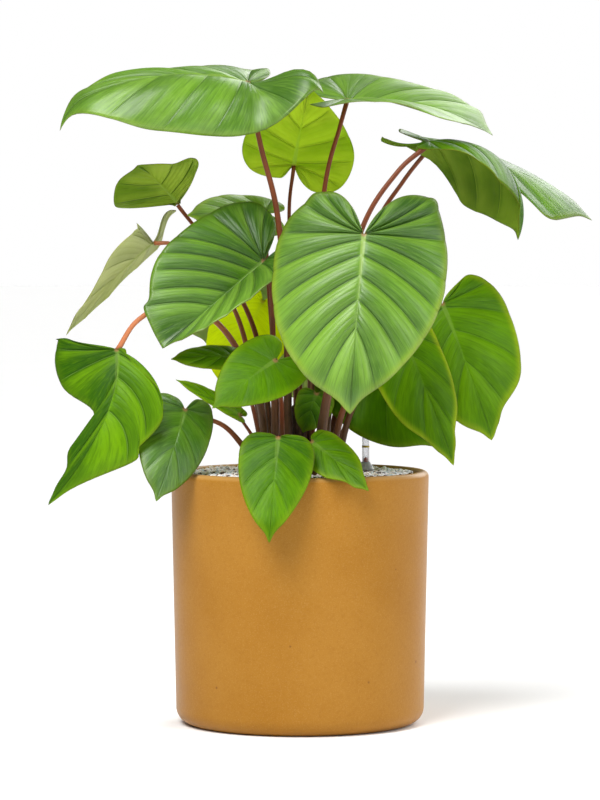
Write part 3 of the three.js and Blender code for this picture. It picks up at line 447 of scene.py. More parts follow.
def leaf_material(name, upper, palette):
    """Leaf skin, drawn from how far a point is from the veins, the midrib and the margin."""
    net = Network(name)
    vein_place = net.attribute("vein")
    spacing = net.attribute("spacing")
    outward = net.attribute("outward")
    rim = net.attribute("rim")
    rib = net.attribute("rib")
    along = net.attribute("along")
    attached = net.attribute("attached")
    # Each leaf's tone: its own shade of green together with painted light and shade
    tone_and_light = net.attribute("tone_and_light")
    gold = net.attribute("gold")
    creased = net.attribute("creased")
    ribbed = net.attribute("ribbed")
    place = net.place()

    # Main veins: sunken creases with painted shade towards the leaf's base, a painted highlight on the
    # ridge after them, and a thin line towards the tip that is a pale vein edge and a painted highlight
    signed = net.times(net.plus(net.maths("FRACT", net.plus(vein_place, 0.5)), -0.5), spacing)
    distance = net.maths("ABSOLUTE", signed)
    fade = net.times(net.step(outward, 0.78, 1.0, 1.0, 0.1), net.step(outward, 0.0, 0.06))
    fade = net.times(fade, creased)
    between = net.maths("FRACT", vein_place)
    ridge = net.times(net.step(between, 0.03, 0.12), net.step(between, 0.15, 0.65, 1.0, 0.0))
    ridge = net.times(ridge, fade)
    slope = net.times(net.step(between, 0.35, 0.98), net.step(between, 0.98, 1.0, 1.0, 0.0))
    slope = net.times(slope, fade)
    crease = net.times(net.step(distance, 0.1, 1.5, 1.0, 0.0), fade)
    shaded = net.times(net.step(signed, -2.6, -0.3), net.step(signed, -0.2, 0.4, 1.0, 0.0))
    shaded = net.times(shaded, fade)
    lit = net.maths("ABSOLUTE", net.plus(signed, -0.35))
    line = net.times(net.step(lit, 0.1, 0.6, 1.0, 0.0), fade)

    # Lesser pleats with painted shade in their creases, veinlets between them, and blotches over the
    # whole blade
    lesser = net.maths("ABSOLUTE", net.maths("SINE", net.times(vein_place, 4 * math.pi)))
    lesser_line = net.times(net.step(lesser, 0.04, 0.34, 1.0, 0.0), fade)
    streak_place = net.vector(net.times(vein_place, 9.0), net.times(outward, 1.6), along)
    streaks = net.noise(streak_place, 2.2, 2.0)
    fine_place = net.vector(net.times(vein_place, 34.0), net.times(outward, 2.6), along)
    veinlets = net.noise(fine_place, 1.6, 1.0)
    blotches = net.noise(place, 17.0, 3.0)
    grain = net.noise(place, 620.0, 2.0)

    # Midrib: broad and pale at the leaf's base, thin towards the tip
    half_rib = net.step(along, -0.05, 0.6, 2.6, 0.35)
    band = net.step(net.less(rib, half_rib), -0.7, 0.6, 1.0, 0.0)
    rib_share = net.times(net.times(band, net.step(along, 0.02, 0.5, 0.75, 0.12)), ribbed)
    spot = net.step(attached, 1.6, 4.2, 0.75, 0.0)

    # Colour: the upper face has painted shade at the lobes, which curl back, and before the tip, and is
    # golden at the margin
    if upper:
        colour = net.mix(net.step(blotches, 0.34, 0.68), palette["dark"], palette["mid"])
        # Painted highlight: lighter from the middle of the blade towards the tip
        lower = net.times(net.step(along, 0.15, 0.6), net.times(creased, 0.16))
        lifted = net.plus(net.plus(net.times(streaks, 0.45), net.times(tone_and_light, 0.6)), lower)
        gilt = net.times(net.step(rim, 0.5, 11.0, 1.0, 0.0), net.times(gold, net.plus(blotches, 0.3)))
        # Painted shade at the lobes and before the tip, which turn away from the light
        lobe = net.times(net.step(along, -0.2, 0.26, 1.0, 0.0), net.times(creased, 0.56))
        before_tip = net.times(net.step(along, 0.72, 0.85), net.step(along, 0.88, 1.0, 1.0, 0.3))
        colour = net.layered(
            colour,
            # Own streaks, with painted light and shade by leaf and a painted highlight towards the tip
            (net.maths("ADD", lifted, -0.08, clamp=True), palette["light"]),
            (net.share(gilt), LEAF_GOLD),
            # Painted shade for leaves and halves that sit in shade
            (net.share(tone_and_light, -0.55), LEAF_DEEP_AND_SHADE),
            # Painted shade at the lobes and before the tip
            (lobe, LEAF_DEEP_AND_SHADE),
            (net.times(before_tip, net.times(creased, 0.3)), LEAF_DEEP_AND_SHADE),
            # Painted highlight on each ridge and painted shade on the flank that faces down
            (net.times(ridge, 0.42), palette["light"]),
            (net.times(slope, 0.42), LEAF_DEEP_AND_SHADE),
            # Painted shade in the lesser creases
            (net.times(lesser_line, 0.3), LEAF_DEEP_AND_SHADE),
            (net.times(net.step(veinlets, 0.5, 0.66), 0.24), palette["light"]),
            (net.times(net.step(veinlets, 0.34, 0.48, 1.0, 0.0), 0.26), LEAF_DEEP_AND_SHADE),
            # Painted shade just before each vein
            (net.times(shaded, 0.55), LEAF_DEEP_AND_SHADE),
            # Pale vein edge, partly a painted highlight
            (net.times(line, 0.34), VEIN_PALE_AND_HIGHLIGHT),
        )
        through_share, rough, sign = palette["through"], 0.33, -1.0
    else:
        pale = palette["under_light"]
        colour = net.mix(net.step(blotches, 0.3, 0.7), palette["under_dark"], pale)
        colour = net.layered(
            colour,
            (net.times(streaks, 0.4), pale),
            # Painted shade for leaves and halves that sit in shade
            (net.share(tone_and_light, -0.55), LEAF_DEEP_AND_SHADE),
            # Painted shade before each vein and painted highlight on the ridges after it
            (net.times(shaded, 0.6), palette["dark"]),
            (net.times(ridge, 0.35), pale),
            (net.times(line, 0.8), pale),
        )
        through_share, rough, sign = palette["through"] + 0.12, 0.5, 1.3
    colour = net.layered(
        colour,
        (rib_share, RIB_PALE),
        (spot, SPOT_PINK),
        (net.step(rim, 0.2, 0.7, 0.4, 0.0), MARGIN_BROWN),
    )

    # Skin over a translucent leaf
    roughness = net.plus(net.times(net.noise(place, 90.0, 2.0), 0.2), rough - 0.08)
    height = net.plus(net.times(crease, sign), net.times(net.times(lesser, fade), -0.5 * sign))
    height = net.plus(height, net.times(veinlets, 0.3))
    height = net.plus(height, net.times(grain, 0.12))
    normal = net.bump(height, 0.55 * MM)
    skin = net.surface(colour, roughness, normal, Specular_IOR_Level=palette["shine"])
    glow = net.mix(0.65, colour, palette["glow"])
    through = net.node("ShaderNodeBsdfTranslucent", Color=glow, Normal=normal)
    both = net.node("ShaderNodeMixShader", Fac=through_share)
    net.put(both.inputs[1], skin)
    net.put(both.inputs[2], through.outputs[0])
    return net.finish(both.outputs[0])


def petiole_material():
    """Leaf stalk: maroon above, brown with pink sheath edges below, with fine lengthwise lines."""
    net = Network("petiole_skin")
    height = net.attribute("height")
    edge = net.attribute("sheath_edge")
    amber = net.attribute("amber")
    angle = net.attribute("angle")
    place = net.place()
    lines = net.noise(net.vector(net.times(angle, 9.0), net.times(height, 3.0), 0.0), 1.5, 3.0)
    blotches = net.noise(place, 45.0, 3.0)
    colour = net.mix(net.step(height, 0.15, 0.55), PETIOLE_BROWN, PETIOLE_MAROON)
    colour = net.layered(
        colour,
        (net.times(net.step(lines, 0.45, 0.75), 0.3), PETIOLE_LINE),
        (net.times(net.step(blotches, 0.5, 0.7), 0.35), STEM_DARK),
        (amber, PETIOLE_AMBER),
        (net.times(edge, 0.75), SHEATH_PINK),
    )
    normal = net.bump(net.plus(net.times(lines, 0.8), net.times(blotches, 0.3)), 0.4 * MM)
    roughness = net.plus(net.times(blotches, 0.25), 0.3)
    return net.finish(net.surface(colour, roughness, normal, Specular_IOR_Level=0.28))


def crown_material():
    """Old stem: dark fibrous leaf bases with a little moss in patches."""
    net = Network("crown_bark")
    place = net.place()
    fibres = net.noise(net.stretched(place, (900.0, 900.0, 60.0)), 1.0, 4.0)
    patches = net.noise(place, 60.0, 3.0)
    colour = net.mix(net.step(fibres, 0.35, 0.7), STEM_DARK, STEM_FIBRE)
    colour = net.mix(net.times(net.step(patches, 0.52, 0.66), 0.5), colour, MOSS)
    normal = net.bump(fibres, 0.9 * MM)
    return net.finish(net.surface(colour, 0.8, normal))


def glaze_material():
    """Honey glaze: fine mottling, a few pin spots, paler towards the top of the rim."""
    net = Network("honey_glaze")
    place = net.place()
    height = net.node("ShaderNodeSeparateXYZ", Vector=place).outputs["Z"]
    clouds = net.noise(place, 9.0, 3.0)
    mottling = net.noise(place, 260.0, 3.0, 0.65)
    grain = net.noise(place, 900.0, 2.0)
    pins = net.less(net.cells(place, 24.0), net.times(net.noise(place, 7.0, 1.0), 0.06))
    spots = net.step(pins, -0.015, 0.012, 1.0, 0.0)
    top = POT["height"] * MM
    rim = net.step(height, top - 6 * MM, top - 1.5 * MM)
    colour = net.layered(
        net.mix(net.step(clouds, 0.3, 0.7), HONEY, HONEY_WARM),
        (net.times(net.step(mottling, 0.45, 0.75), 0.35), HONEY_DARK),
        (net.times(net.step(grain, 0.5, 0.75), 0.22), HONEY_PALE),
        (net.times(spots, 0.7), PIN_SPOT),
        (net.times(rim, 0.45), HONEY_PALE),
        (net.step(height, 0.5 * MM, 9 * MM, 0.5, 0.0), HONEY_DARK),
    )
    waves = net.noise(net.stretched(place, (6.0, 6.0, 26.0)), 1.0, 2.0)
    relief = net.plus(waves, net.times(mottling, 0.06))
    normal = net.bump(relief, 0.9 * MM, 0.6)
    roughness = net.plus(net.times(mottling, 0.16), 0.28)
    gloss = dict(Specular_IOR_Level=0.09, Coat_Weight=0.02, Coat_Roughness=0.08)
    return net.finish(net.surface(colour, roughness, normal, **gloss))


def stone_material(name, dark, light, speck):
    """Crushed mineral granules of one colour family."""
    net = Network(name)
    place = net.place()
    patches = net.noise(place, 210.0, 2.0)
    grit = net.noise(place, 1400.0, 3.0)
    colour = net.mix(net.step(patches, 0.3, 0.7), dark, light)
    colour = net.mix(net.times(net.step(grit, 0.5, 0.72), 0.4), colour, speck)
    normal = net.bump(grit, 0.35 * MM)
    return net.finish(net.surface(colour, 0.9, normal))


def plastic_material(name, colour, dark, roughness):
    """Moulded plastic with a faint orange-peel surface."""
    net = Network(name)
    place = net.place()
    peel = net.noise(place, 1500.0, 2.0)
    dust = net.noise(place, 160.0, 3.0)
    shade = net.mix(net.times(net.step(dust, 0.45, 0.75), 0.35), colour, dark)
    normal = net.bump(peel, 0.06 * MM)
    rough = net.plus(net.times(dust, 0.15), roughness)
    return net.finish(net.surface(shade, rough, normal))


def clear_material():
    """Clear tube plastic with a slight haze."""
    net = Network("gauge_clear_plastic")
    haze = net.noise(net.place(), 300.0, 2.0)
    normal = net.bump(haze, 0.03 * MM)
    clear = net.node("ShaderNodeBsdfTransparent", Color=CLEAR_TINT)
    gloss = net.surface(CLEAR_GLOSS, net.plus(net.times(haze, 0.1), 0.12), normal)
    facing = net.node("ShaderNodeLayerWeight", Blend=0.42).outputs["Facing"]
    both = net.node("ShaderNodeMixShader", Fac=net.step(facing, 0.0, 1.0, 0.12, 0.75))
    net.put(both.inputs[1], clear.outputs[0])
    net.put(both.inputs[2], gloss)
    return net.finish(both.outputs[0])


def floor_material():
    """Pale matt studio floor."""
    net = Network("studio_floor")
    cloud = net.noise(net.place(), 3.0, 2.0)
    colour = net.mix(cloud, FLOOR_PALE, FLOOR_CLOUD)
    return net.finish(net.surface(colour, 0.9))


# Mesh helpers

def new_object(name, points, faces, materials, smooth=True):
    """Mesh object from points in millimetres."""
    mesh = bpy.data.meshes.new(name)
    mesh.from_pydata((np.asarray(points, float) * MM).tolist(), [], faces)
    for material in materials:
        mesh.materials.append(material)
    mesh.polygons.foreach_set("use_smooth", [smooth] * len(mesh.polygons))
    mesh.update()
    obj = bpy.data.objects.new(name, mesh)
    bpy.context.scene.collection.objects.link(obj)
    return obj


def belongs(obj, slot, *nodes):
    """The object rides on the part and may stand for nodes; its slot is not used."""
    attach(obj, "root")
    if nodes:
        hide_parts(*nodes)
    return obj


def corner_values(obj, values):
    """Gives each corner of each face its own numbers."""
    for name, numbers in values.items():
        layer = obj.data.attributes.new(name, "FLOAT", "CORNER")
        layer.data.foreach_set("value", np.asarray(numbers, np.float32))


def circle(radius, height, sides, centre=(0, 0)):
    """Even points on a level circle."""
    angles = [2 * math.pi * k / sides for k in range(sides)]
    return [(centre[0] + radius * math.cos(a), centre[1] + radius * math.sin(a), height) for a in angles]


def tube_faces(rings, sides):
    """Outward faces between level rings of points that rise one above the other."""
    faces = []
    for ring in range(rings):
        low, high = ring * sides, (ring + 1) * sides
        for k in range(sides):
            n = (k + 1) % sides
            faces.append([low + k, low + n, high + n, high + k])
    return faces


def turned(name, profile, sides, material, centre=(0, 0)):
    """A turned solid from radius and height points, from axis to axis or closed on itself."""
    points = []
    rings = []
    for radius, height in profile:
        if radius < ON_AXIS:
            rings.append([len(points)] * sides)
            points.append((centre[0], centre[1], height))
            continue
        rings.append(list(range(len(points), len(points) + sides)))
        points += circle(radius, height, sides, centre)
    faces = []
    closed = profile[0][0] > ON_AXIS
    pairs = list(zip(rings, rings[1:])) + ([(rings[-1], rings[0])] if closed else [])
    for lower, upper in pairs:
        for k in range(sides):
            corners = [lower[k], lower[(k + 1) % sides], upper[(k + 1) % sides], upper[k]]
            corners = [c for i, c in enumerate(corners) if c != corners[i - 1]]
            if len(corners) > 2:
                faces.append(corners)
    return new_object(name, points, faces, [MATERIALS[material]])


def arc(centre, radius, start, end, steps):
    angles = [math.radians(start + (end - start) * i / steps) for i in range(steps + 1)]
    return [(centre[0] + radius * math.cos(a), centre[1] + radius * math.sin(a)) for a in angles]


# Leaf form, as in the part's source

def of_side(value, side):
    return value[0 if side < 0 else 1] if isinstance(value, (tuple, list)) else value


def cubic(points, t):
    s = 1 - t
    weights = (s ** 3, 3 * s * s * t, 3 * s * t * t, t ** 3)
    return [sum(w * p[axis] for w, p in zip(weights, points)) for axis in (0, 1)]


def margin_point(leaf, a, side):
    """The margin for a length of 1: a runs from the sinus, 0, round the lobe to the tip, 1."""
    back = of_side(leaf["back"], side)
    half = of_side(leaf["half"], side)
    full = of_side(leaf["full"], side)
    wide = of_side(leaf["wide"], side)
    crest = of_side(leaf["lobe"], side) * half
    lobe = cubic([(0, 0), (-0.45 * back, 0.1 * half), (-back, 0.4 * crest), (-back, crest)], a / LOBE_END)
    turn = (-back, crest + 0.7 * (half - crest))
    rise = (wide - 0.55 * (back + wide), half)
    shoulder = cubic([(-back, crest), turn, rise, (wide, half)], (a - LOBE_END) / (WIDEST - LOBE_END))
    swell = (wide + (0.35 + 0.15 * full) * (1 - wide), half)
    flank = (0.74 + 0.08 * full, (0.4 + 0.36 * full) * half)
    front = cubic([(wide, half), swell, flank, (1, 0)], (a - WIDEST) / (1 - WIDEST))
    parts = [a < LOBE_END, a < WIDEST]
    u, v = (np.select(parts, [lobe[axis], shoulder[axis]], front[axis]) for axis in (0, 1))
    for place, width, amount in (*leaf["bumps"][0 if side < 0 else 1], TIP_BUMP):
        v = v * (1 + amount * np.exp(-(((a - place) / width) ** 2)))
    return u, v


def flat_point(leaf, a, b, side):
    """The flat blade on the vein that ends at margin place a: b is 0 on the midrib, 1 at the margin."""
    mu, mv = margin_point(leaf, a, side)
    start = RIB_SPAN * np.clip((a - FAN) / (1 - FAN), 0, 1) ** SWEEP
    s = 1 - b
    u = s * s * start + 2 * b * s * (start + VEIN_LEAN * (mu - start)) + b * b * mu
    v = 2 * b * s * VEIN_REACH * mv + b * b * mv
    return u, v


def calm_ends(a):
    """1 along the margin, falling to 0 at the sinus and at the tip."""
    return np.clip(5 * a, 0, 1) * np.clip(5 * (1 - a), 0, 1)


def relief(leaf, a, b, side):
    """Quilting between the veins, waves at the margin, humped lobes."""
    back = of_side(leaf["back"], side)
    u, _ = flat_point(leaf, a, b, side)
    rear = np.clip(-u / back, 0, 1) if back > 0 else np.zeros_like(u)
    hump = of_side(leaf["hump"], side) * np.sin(HUMP_TURN * math.pi * rear) ** 2
    ends = np.clip(8 * a, 0, 1) * np.clip(6 * (1 - a), 0, 1)
    quilt = np.sin(0.88 * math.pi * b ** 0.8) ** 0.8 * ends
    ridge = np.abs(np.sin(math.pi * leaf["veins"] * a)) ** 0.8
    height, count, phase = leaf["wave"]
    turn = count * a + phase + (0.5 if side > 0 else 0)
    edge = height * b ** 2.2 * np.sin(2 * math.pi * turn) * calm_ends(a)
    return leaf["pleat"] * quilt * ridge + edge + hump


def bent_point(leaf, u, v, lift, side):
    """The bent blade for a length of 1: X along the midrib, Y to the side, Z out of the upper face."""
    fold = math.radians(of_side(leaf["fold"], side))
    curl = math.radians(of_side(leaf["curl"], side)) or STRAIGHT
    half = of_side(leaf["half"], side)
    slope = fold + curl * v / half
    across = (half / curl) * (np.sin(slope) - math.sin(fold))
    up = (-half / curl) * (np.cos(slope) - math.cos(fold))
    ridge_tilt = math.radians(leaf["fold"][1] - leaf["fold"][0]) / 2
    blend = np.clip(6 * v / half, 0, 1)
    tilt = ridge_tilt * (1 - blend) + side * slope * blend
    y = side * across - np.sin(tilt) * lift
    z = up + np.cos(tilt) * lift
    lobes = leaf["arch"] if leaf["lobes"] is None else of_side(leaf["lobes"], side)
    bend = np.where(u >= 0, math.radians(leaf["arch"]) or STRAIGHT, math.radians(lobes) or STRAIGHT)
    twist = math.radians(leaf["twist"]) * u
    y_turned = y * np.cos(twist) - z * np.sin(twist)
    hooked = leaf["hook"] * np.clip((u - HOOK_START) / (1 - HOOK_START), 0, 1) ** 2
    z_turned = y * np.sin(twist) + z * np.cos(twist) - hooked
    angle = bend * u
    return np.stack([
        np.sin(angle) / bend + z_turned * np.sin(angle),
        y_turned + leaf["sway"] * u * np.abs(u),
        (np.cos(angle) - 1) / bend + z_turned * np.cos(angle),
    ], -1)


def facing(azimuth, elevation):
    a, e = math.radians(azimuth), math.radians(elevation)
    return np.array([math.sin(a) * math.cos(e), -math.cos(a) * math.cos(e), math.sin(e)])


def axes(along, face):
    x = along / np.linalg.norm(along)
    z = face - x * np.dot(face, x)
    z = z / np.linalg.norm(z)
    return np.stack([x, np.cross(z, x), z], -1)


def blade_placing(leaf):
    """Rotation, scale and base that set the unit blade in its place."""
    tip = bent_point(leaf, np.array(1.0), np.array(0.0), np.array(0.0), 1)
    base = np.array(leaf["base"], float)
    span = np.array(leaf["tip"], float) - base
    own = axes(tip, np.array([0.0, 0.0, 1.0]))
    wanted = axes(span, facing(*leaf["face"]))
    return wanted @ own.T, np.linalg.norm(span) / np.linalg.norm(tip), base


def ripple(a, b, side, number):
    """Small uneven waves towards the margin, different on each leaf."""
    source = random.Random(100 + number)
    total = 0
    for count in (2, 3, 5):
        turn = 2 * math.pi * (count * a + source.random() + 0.37 * side)
        total = total + np.sin(turn) * source.uniform(0.4, 1) / count
    return RIPPLE * total * b ** 1.6 * calm_ends(a)


def blade(leaf, number):
    """One fine blade, closed, with vein, margin and midrib distances on its corners."""
    turn, scale, base = blade_placing(leaf)
    columns = COLUMNS_PER_VEIN * leaf["veins"]
    a = np.linspace(0, 1, columns + 1)[:, None] * np.ones(BLADE_ROWS + 1)
    b = (np.linspace(0, 1, BLADE_ROWS + 1) ** ROW_CROWDING) * np.ones((columns + 1, 1))
    points = []
    names = ("vein", "spacing", "outward", "rim", "rib", "along", "attached", "tone_and_light")
    values = {name: [] for name in names}
    plan = []
    index = {}
    for side in (-1, 1):
        u, v = flat_point(leaf, a, b, side)
        lift = relief(leaf, a, b, side) + ripple(a, b, side, number)
        upper = base + scale * bent_point(leaf, u, v, lift, side) @ turn.T
        attached = np.hypot(u, v) * scale
        rib = np.where(u > 0, v * scale, attached)
        rim = np.linalg.norm(upper - upper[:, -1:], axis=-1)
        rib_bulge = 1.1 * np.exp(-(rib / 1.6) ** 2) * np.clip(1 - 0.7 * u, 0.3, 1)
        thick = (BLADE_THICKNESS + rib_bulge) / scale * np.clip(12 * (1 - a), 0.4, 1)
        lower = base + scale * bent_point(leaf, u, v, lift - thick, side) @ turn.T
        spacing = np.linalg.norm(np.gradient(upper, axis=0), axis=-1) * COLUMNS_PER_VEIN
        for layer, surface in ((0, upper), (1, lower)):
            offset = len(points)
            points.extend(surface.reshape(-1, 3).tolist())
            index[side, layer] = offset
            # Tone for each half: the leaf's own shade of green together with painted light and shade
            tone_and_light_grid = np.full_like(a, of_side(leaf["tone_and_light"], side))
            grids = (a * leaf["veins"], spacing, b, rim, rib, u, attached, tone_and_light_grid)
            for key, numbers in zip(values, grids):
                values[key].extend(numbers.ravel().tolist())
            plan.extend(np.stack([u, side * v], -1).reshape(-1, 2).tolist())
    width = BLADE_ROWS + 1

    def merged(side, layer, i, j):
        """Which point stands for a grid place: the base, the tip and the midrib are shared."""
        if i == 0 or (j == 0 and a[i, 0] <= FAN):
            return index[-1, layer]
        if i == columns or j == 0:
            return index[-1, layer] + i * width + j
        return index[side, layer] + i * width + j

    faces = []
    corners = []
    kinds = []

    def add(places, kind, flip):
        shared = [merged(*p) for p in places]
        own = [index[p[0], p[1]] + p[2] * width + p[3] for p in places]
        kept = [k for k in range(len(shared)) if shared[k] != shared[k - 1]]
        if len(kept) > 2 and len({shared[k] for k in kept}) == len(kept):
            kept = kept[::-1] if flip else kept
            faces.append([shared[k] for k in kept])
            corners.extend(own[k] for k in kept)
            kinds.append(kind)

    for side in (-1, 1):
        for i in range(columns):
            for j in range(BLADE_ROWS):
                for layer in (0, 1):
                    cell = [(side, layer, i, j), (side, layer, i + 1, j),
                            (side, layer, i + 1, j + 1), (side, layer, i, j + 1)]
                    add(cell, layer, (side < 0) != (layer == 1))
            rim_cell = [(side, 0, i, BLADE_ROWS), (side, 0, i + 1, BLADE_ROWS),
                        (side, 1, i + 1, BLADE_ROWS), (side, 1, i, BLADE_ROWS)]
            add(rim_cell, 0, side < 0)

    used = sorted({p for face in faces for p in face})
    renumber = {old: new for new, old in enumerate(used)}
    kept_points = [points[p] for p in used]
    kept_faces = [[renumber[p] for p in face] for face in faces]
    skins = [MATERIALS[leaf["look"] + "_upper"], MATERIALS[leaf["look"] + "_under"]]
    obj = new_object("leaf_" + leaf["name"], kept_points, kept_faces, skins)
    obj.data.polygons.foreach_set("material_index", kinds)
    corners = np.array(corners)
    layers = {key: np.array(numbers)[corners] for key, numbers in values.items()}
    for key in ("gold", "creased", "ribbed"):
        layers[key] = np.full(len(corners), leaf[key])
    corner_values(obj, layers)
    kind_of_corner = np.repeat(kinds, [len(face) for face in faces])
    flat = np.array(plan)[corners]
    sheet = obj.data.uv_layers.new(name="blade")
    uv = np.stack([(flat[:, 0] + 0.5) / 3.2 + 0.5 * kind_of_corner, flat[:, 1] / 2.4 + 0.5], -1)
    sheet.data.foreach_set("uv", uv.ravel().astype(np.float32))
    return belongs(obj, LEAF_SLOTS[leaf["look"]], "blade_" + leaf["name"])


# Petioles

def petiole_end(leaf, before):
    """Where the petiole meets the back of its blade."""
    turn, _, base = blade_placing(leaf)
    normal = turn @ np.array([0.0, 0.0, 1.0])
    arriving = base - before
    arriving = arriving / np.linalg.norm(arriving)
    lean = math.sqrt(max(0, 1 - float(normal @ arriving) ** 2))
    roof = ROOF_SHARE * max(0, -math.sin(math.radians(min(leaf["fold"]))))
    return base - normal * (BLADE_THICKNESS + leaf["stem"][1] * (0.9 * lean + roof))


def smooth_route(points, step):
    """Even points and tangents of a Catmull-Rom curve through the given ones."""
    ends = [2 * points[0] - points[1]], [2 * points[-1] - points[-2]]
    full = ends[0] + list(points) + ends[1]
    dense = []
    for i in range(1, len(full) - 2):
        p0, p1, p2, p3 = full[i - 1:i + 3]
        for t in np.linspace(0, 1, 40, endpoint=False):
            bend = (2 * p0 - 5 * p1 + 4 * p2 - p3) * t * t + (3 * p1 - p0 - 3 * p2 + p3) * t ** 3
            dense.append(0.5 * (2 * p1 + (p2 - p0) * t + bend))
    dense.append(full[-2])
    dense = np.array(dense)
    lengths = np.concatenate([[0], np.cumsum(np.linalg.norm(np.diff(dense, axis=0), axis=1))])
    count = max(4, round(lengths[-1] / step))
    places = np.linspace(0, lengths[-1], count + 1)
    even = np.stack([np.interp(places, lengths, dense[:, k]) for k in range(3)], -1)
    tangents = np.gradient(even, axis=0)
    return even, tangents / np.linalg.norm(tangents, axis=1, keepdims=True)


def petiole(leaf):
    """Leaf stalk: a sheath with two thin edges below, round above, swollen a little under the blade."""
    x, y = leaf["root"]
    route = [np.array(p, float) for p in ((x, y, SOIL["level"] + ROOT_RISE), *leaf["via"])]
    route.append(petiole_end(leaf, route[-1]))
    centres, tangents = smooth_route(route, PETIOLE_STEP)
    tangents[0] = (0, 0, 1)
    foot = np.array([x, y, SOIL["level"] - HOLE_DEPTH + GAP])
    centres = np.vstack([foot, centres])
    tangents = np.vstack([[0, 0, 1], tangents])
    root_radius, top_radius = leaf["stem"]
    count = len(centres) - 1
    outward = np.array([x, y, 0.0]) - np.array([CROWN["x"], CROWN["y"], 0.0])
    outward = outward / np.linalg.norm(outward)
    points = []
    heights = []
    edges = []
    for i in range(len(centres)):
        tangent = tangents[i]
        inward = -outward + tangent * float(outward @ tangent)
        inward = inward / np.linalg.norm(inward)
        across = np.cross(tangent, inward)
        share = max(0, i - 1) / (count - 1)
        radius = top_radius + (root_radius - top_radius) * (1 - share) ** PETIOLE_TAPER
        radius *= 1 + 0.16 * math.exp(-((share - 1) / 0.05) ** 2)
        sheath = max(0.0, 1 - share / SHEATH_SHARE)
        for k in range(PETIOLE_SIDES):
            angle = 2 * math.pi * k / PETIOLE_SIDES
            groove = math.exp(-((angle - math.pi) / 0.5) ** 2)
            lip = math.exp(-((abs(angle - math.pi) - 0.75) / 0.28) ** 2)
            reach = radius * (1 - (0.12 + 0.5 * sheath) * groove + 0.14 * sheath * lip)
            offset = -inward * math.cos(angle) * reach + across * math.sin(angle) * reach
            points.append(centres[i] + offset)
            heights.append(share)
            edges.append(lip * min(1, 2.2 * sheath) if i > 1 else 0)
    sides = PETIOLE_SIDES
    faces = tube_faces(count, sides)
    faces.append(list(range(sides))[::-1])
    faces.append([count * sides + k for k in range(sides)])
    obj = new_object("stalk_" + leaf["name"], points, faces, [MATERIALS["petiole"]])
    corner_points = np.array([p for face in faces for p in face])
    amber = AMBER_STALKS.get(leaf["name"], 0)
    share_of = np.array(heights)[corner_points]
    corner_values(obj, {
        "height": share_of,
        "sheath_edge": np.array(edges)[corner_points],
        "amber": amber * np.clip((share_of - 0.3) * 2.2, 0, 1),
        "angle": (corner_points % sides) / sides,
    })
    return belongs(obj, "petiole", "petiole_" + leaf["name"])


# Pot, granules, crown and gauge

def inner_radius(height):
    foot = POT["floor"] + POT["inner_round"]
    share = (height - foot) / (POT["height"] - POT["wall"] / 2 - foot)
    return POT["foot_radius"] + (POT["top_radius"] - POT["foot_radius"]) * share - POT["wall"]


def pot():
    """Round pot with a softly flattened rim."""
    half = POT["wall"] / 2
    corner = POT["floor"] + POT["inner_round"]
    foot = POT["foot_radius"] - POT["foot_round"]
    flare = POT["top_radius"] - POT["foot_radius"]
    rise = POT["height"] - half - POT["foot_round"]
    wall = [
        (POT["foot_radius"] + flare * t, POT["foot_round"] + rise * t)
        for t in np.linspace(0.02, 0.98, 28)
    ]
    profile = [
        (0, 0), (foot * 0.5, 0), (foot * 0.97, 0),
        *arc((foot, POT["foot_round"]), POT["foot_round"], -90, 0, 14),
        *wall,
        *arc((POT["top_radius"] - half, POT["height"] - half), half, 0, 180, 20),
        (inner_radius(150), 150),
        *arc((inner_radius(corner) - POT["inner_round"], corner), POT["inner_round"], 0, -90, 6),
        (0, POT["floor"]),
    ]
    return belongs(turned("glazed_pot", profile, 160, "glaze"), "glaze", "pot")


def granule_bed():
    """The filling under the loose granules, with a lumpy top."""
    rings = 46
    sides = 144
    edge = inner_radius(SOIL["level"]) - 0.6
    points = []
    for ring in range(1, rings + 1):
        for k in range(sides):
            radius = edge * ring / rings
            angle = 2 * math.pi * k / sides
            x, y = radius * math.cos(angle), radius * math.sin(angle)
            lump = noise.noise(Vector((x, y, 3.0)) * 0.16)
            lump += 0.5 * noise.noise(Vector((x, y, 9.0)) * 0.42)
            calm = 1 if ring < rings else 0
            points.append((x, y, SOIL["level"] - 0.6 + 1.6 * lump * calm))
    top = len(points)
    points.append((0, 0, SOIL["level"]))
    points += circle(inner_radius(60) - 1, 60, sides)
    points += circle(inner_radius(60) - 16, POT["floor"] + 1, sides)
    bottom = len(points)
    points.append((0, 0, POT["floor"] + 1))
    bands = [(ring * sides, (ring + 1) * sides) for ring in range(rings - 1)]
    bands += [((rings - 1) * sides, top + 1), (top + 1, top + 1 + sides)]
    faces = []
    for k in range(sides):
        n = (k + 1) % sides
        faces.append([top, k, n])
        for inner, outer in bands:
            faces.append([inner + k, outer + k, outer + n, inner + n])
        faces.append([bottom, top + 1 + sides + n, top + 1 + sides + k])
    bed = new_object("granule_bed", points, faces, [MATERIALS["grit_mixed"]])
    return belongs(bed, "granules", "substrate")


def ball_corners():
    """Corners of a twenty-sided ball, whose edges are 2 long."""
    golden = (1 + math.sqrt(5)) / 2
    corners = []
    for s in (-1, 1):
        for t in (-golden, golden):
            corners += [(0, s, t), (s, t, 0), (t, 0, s)]
    return corners


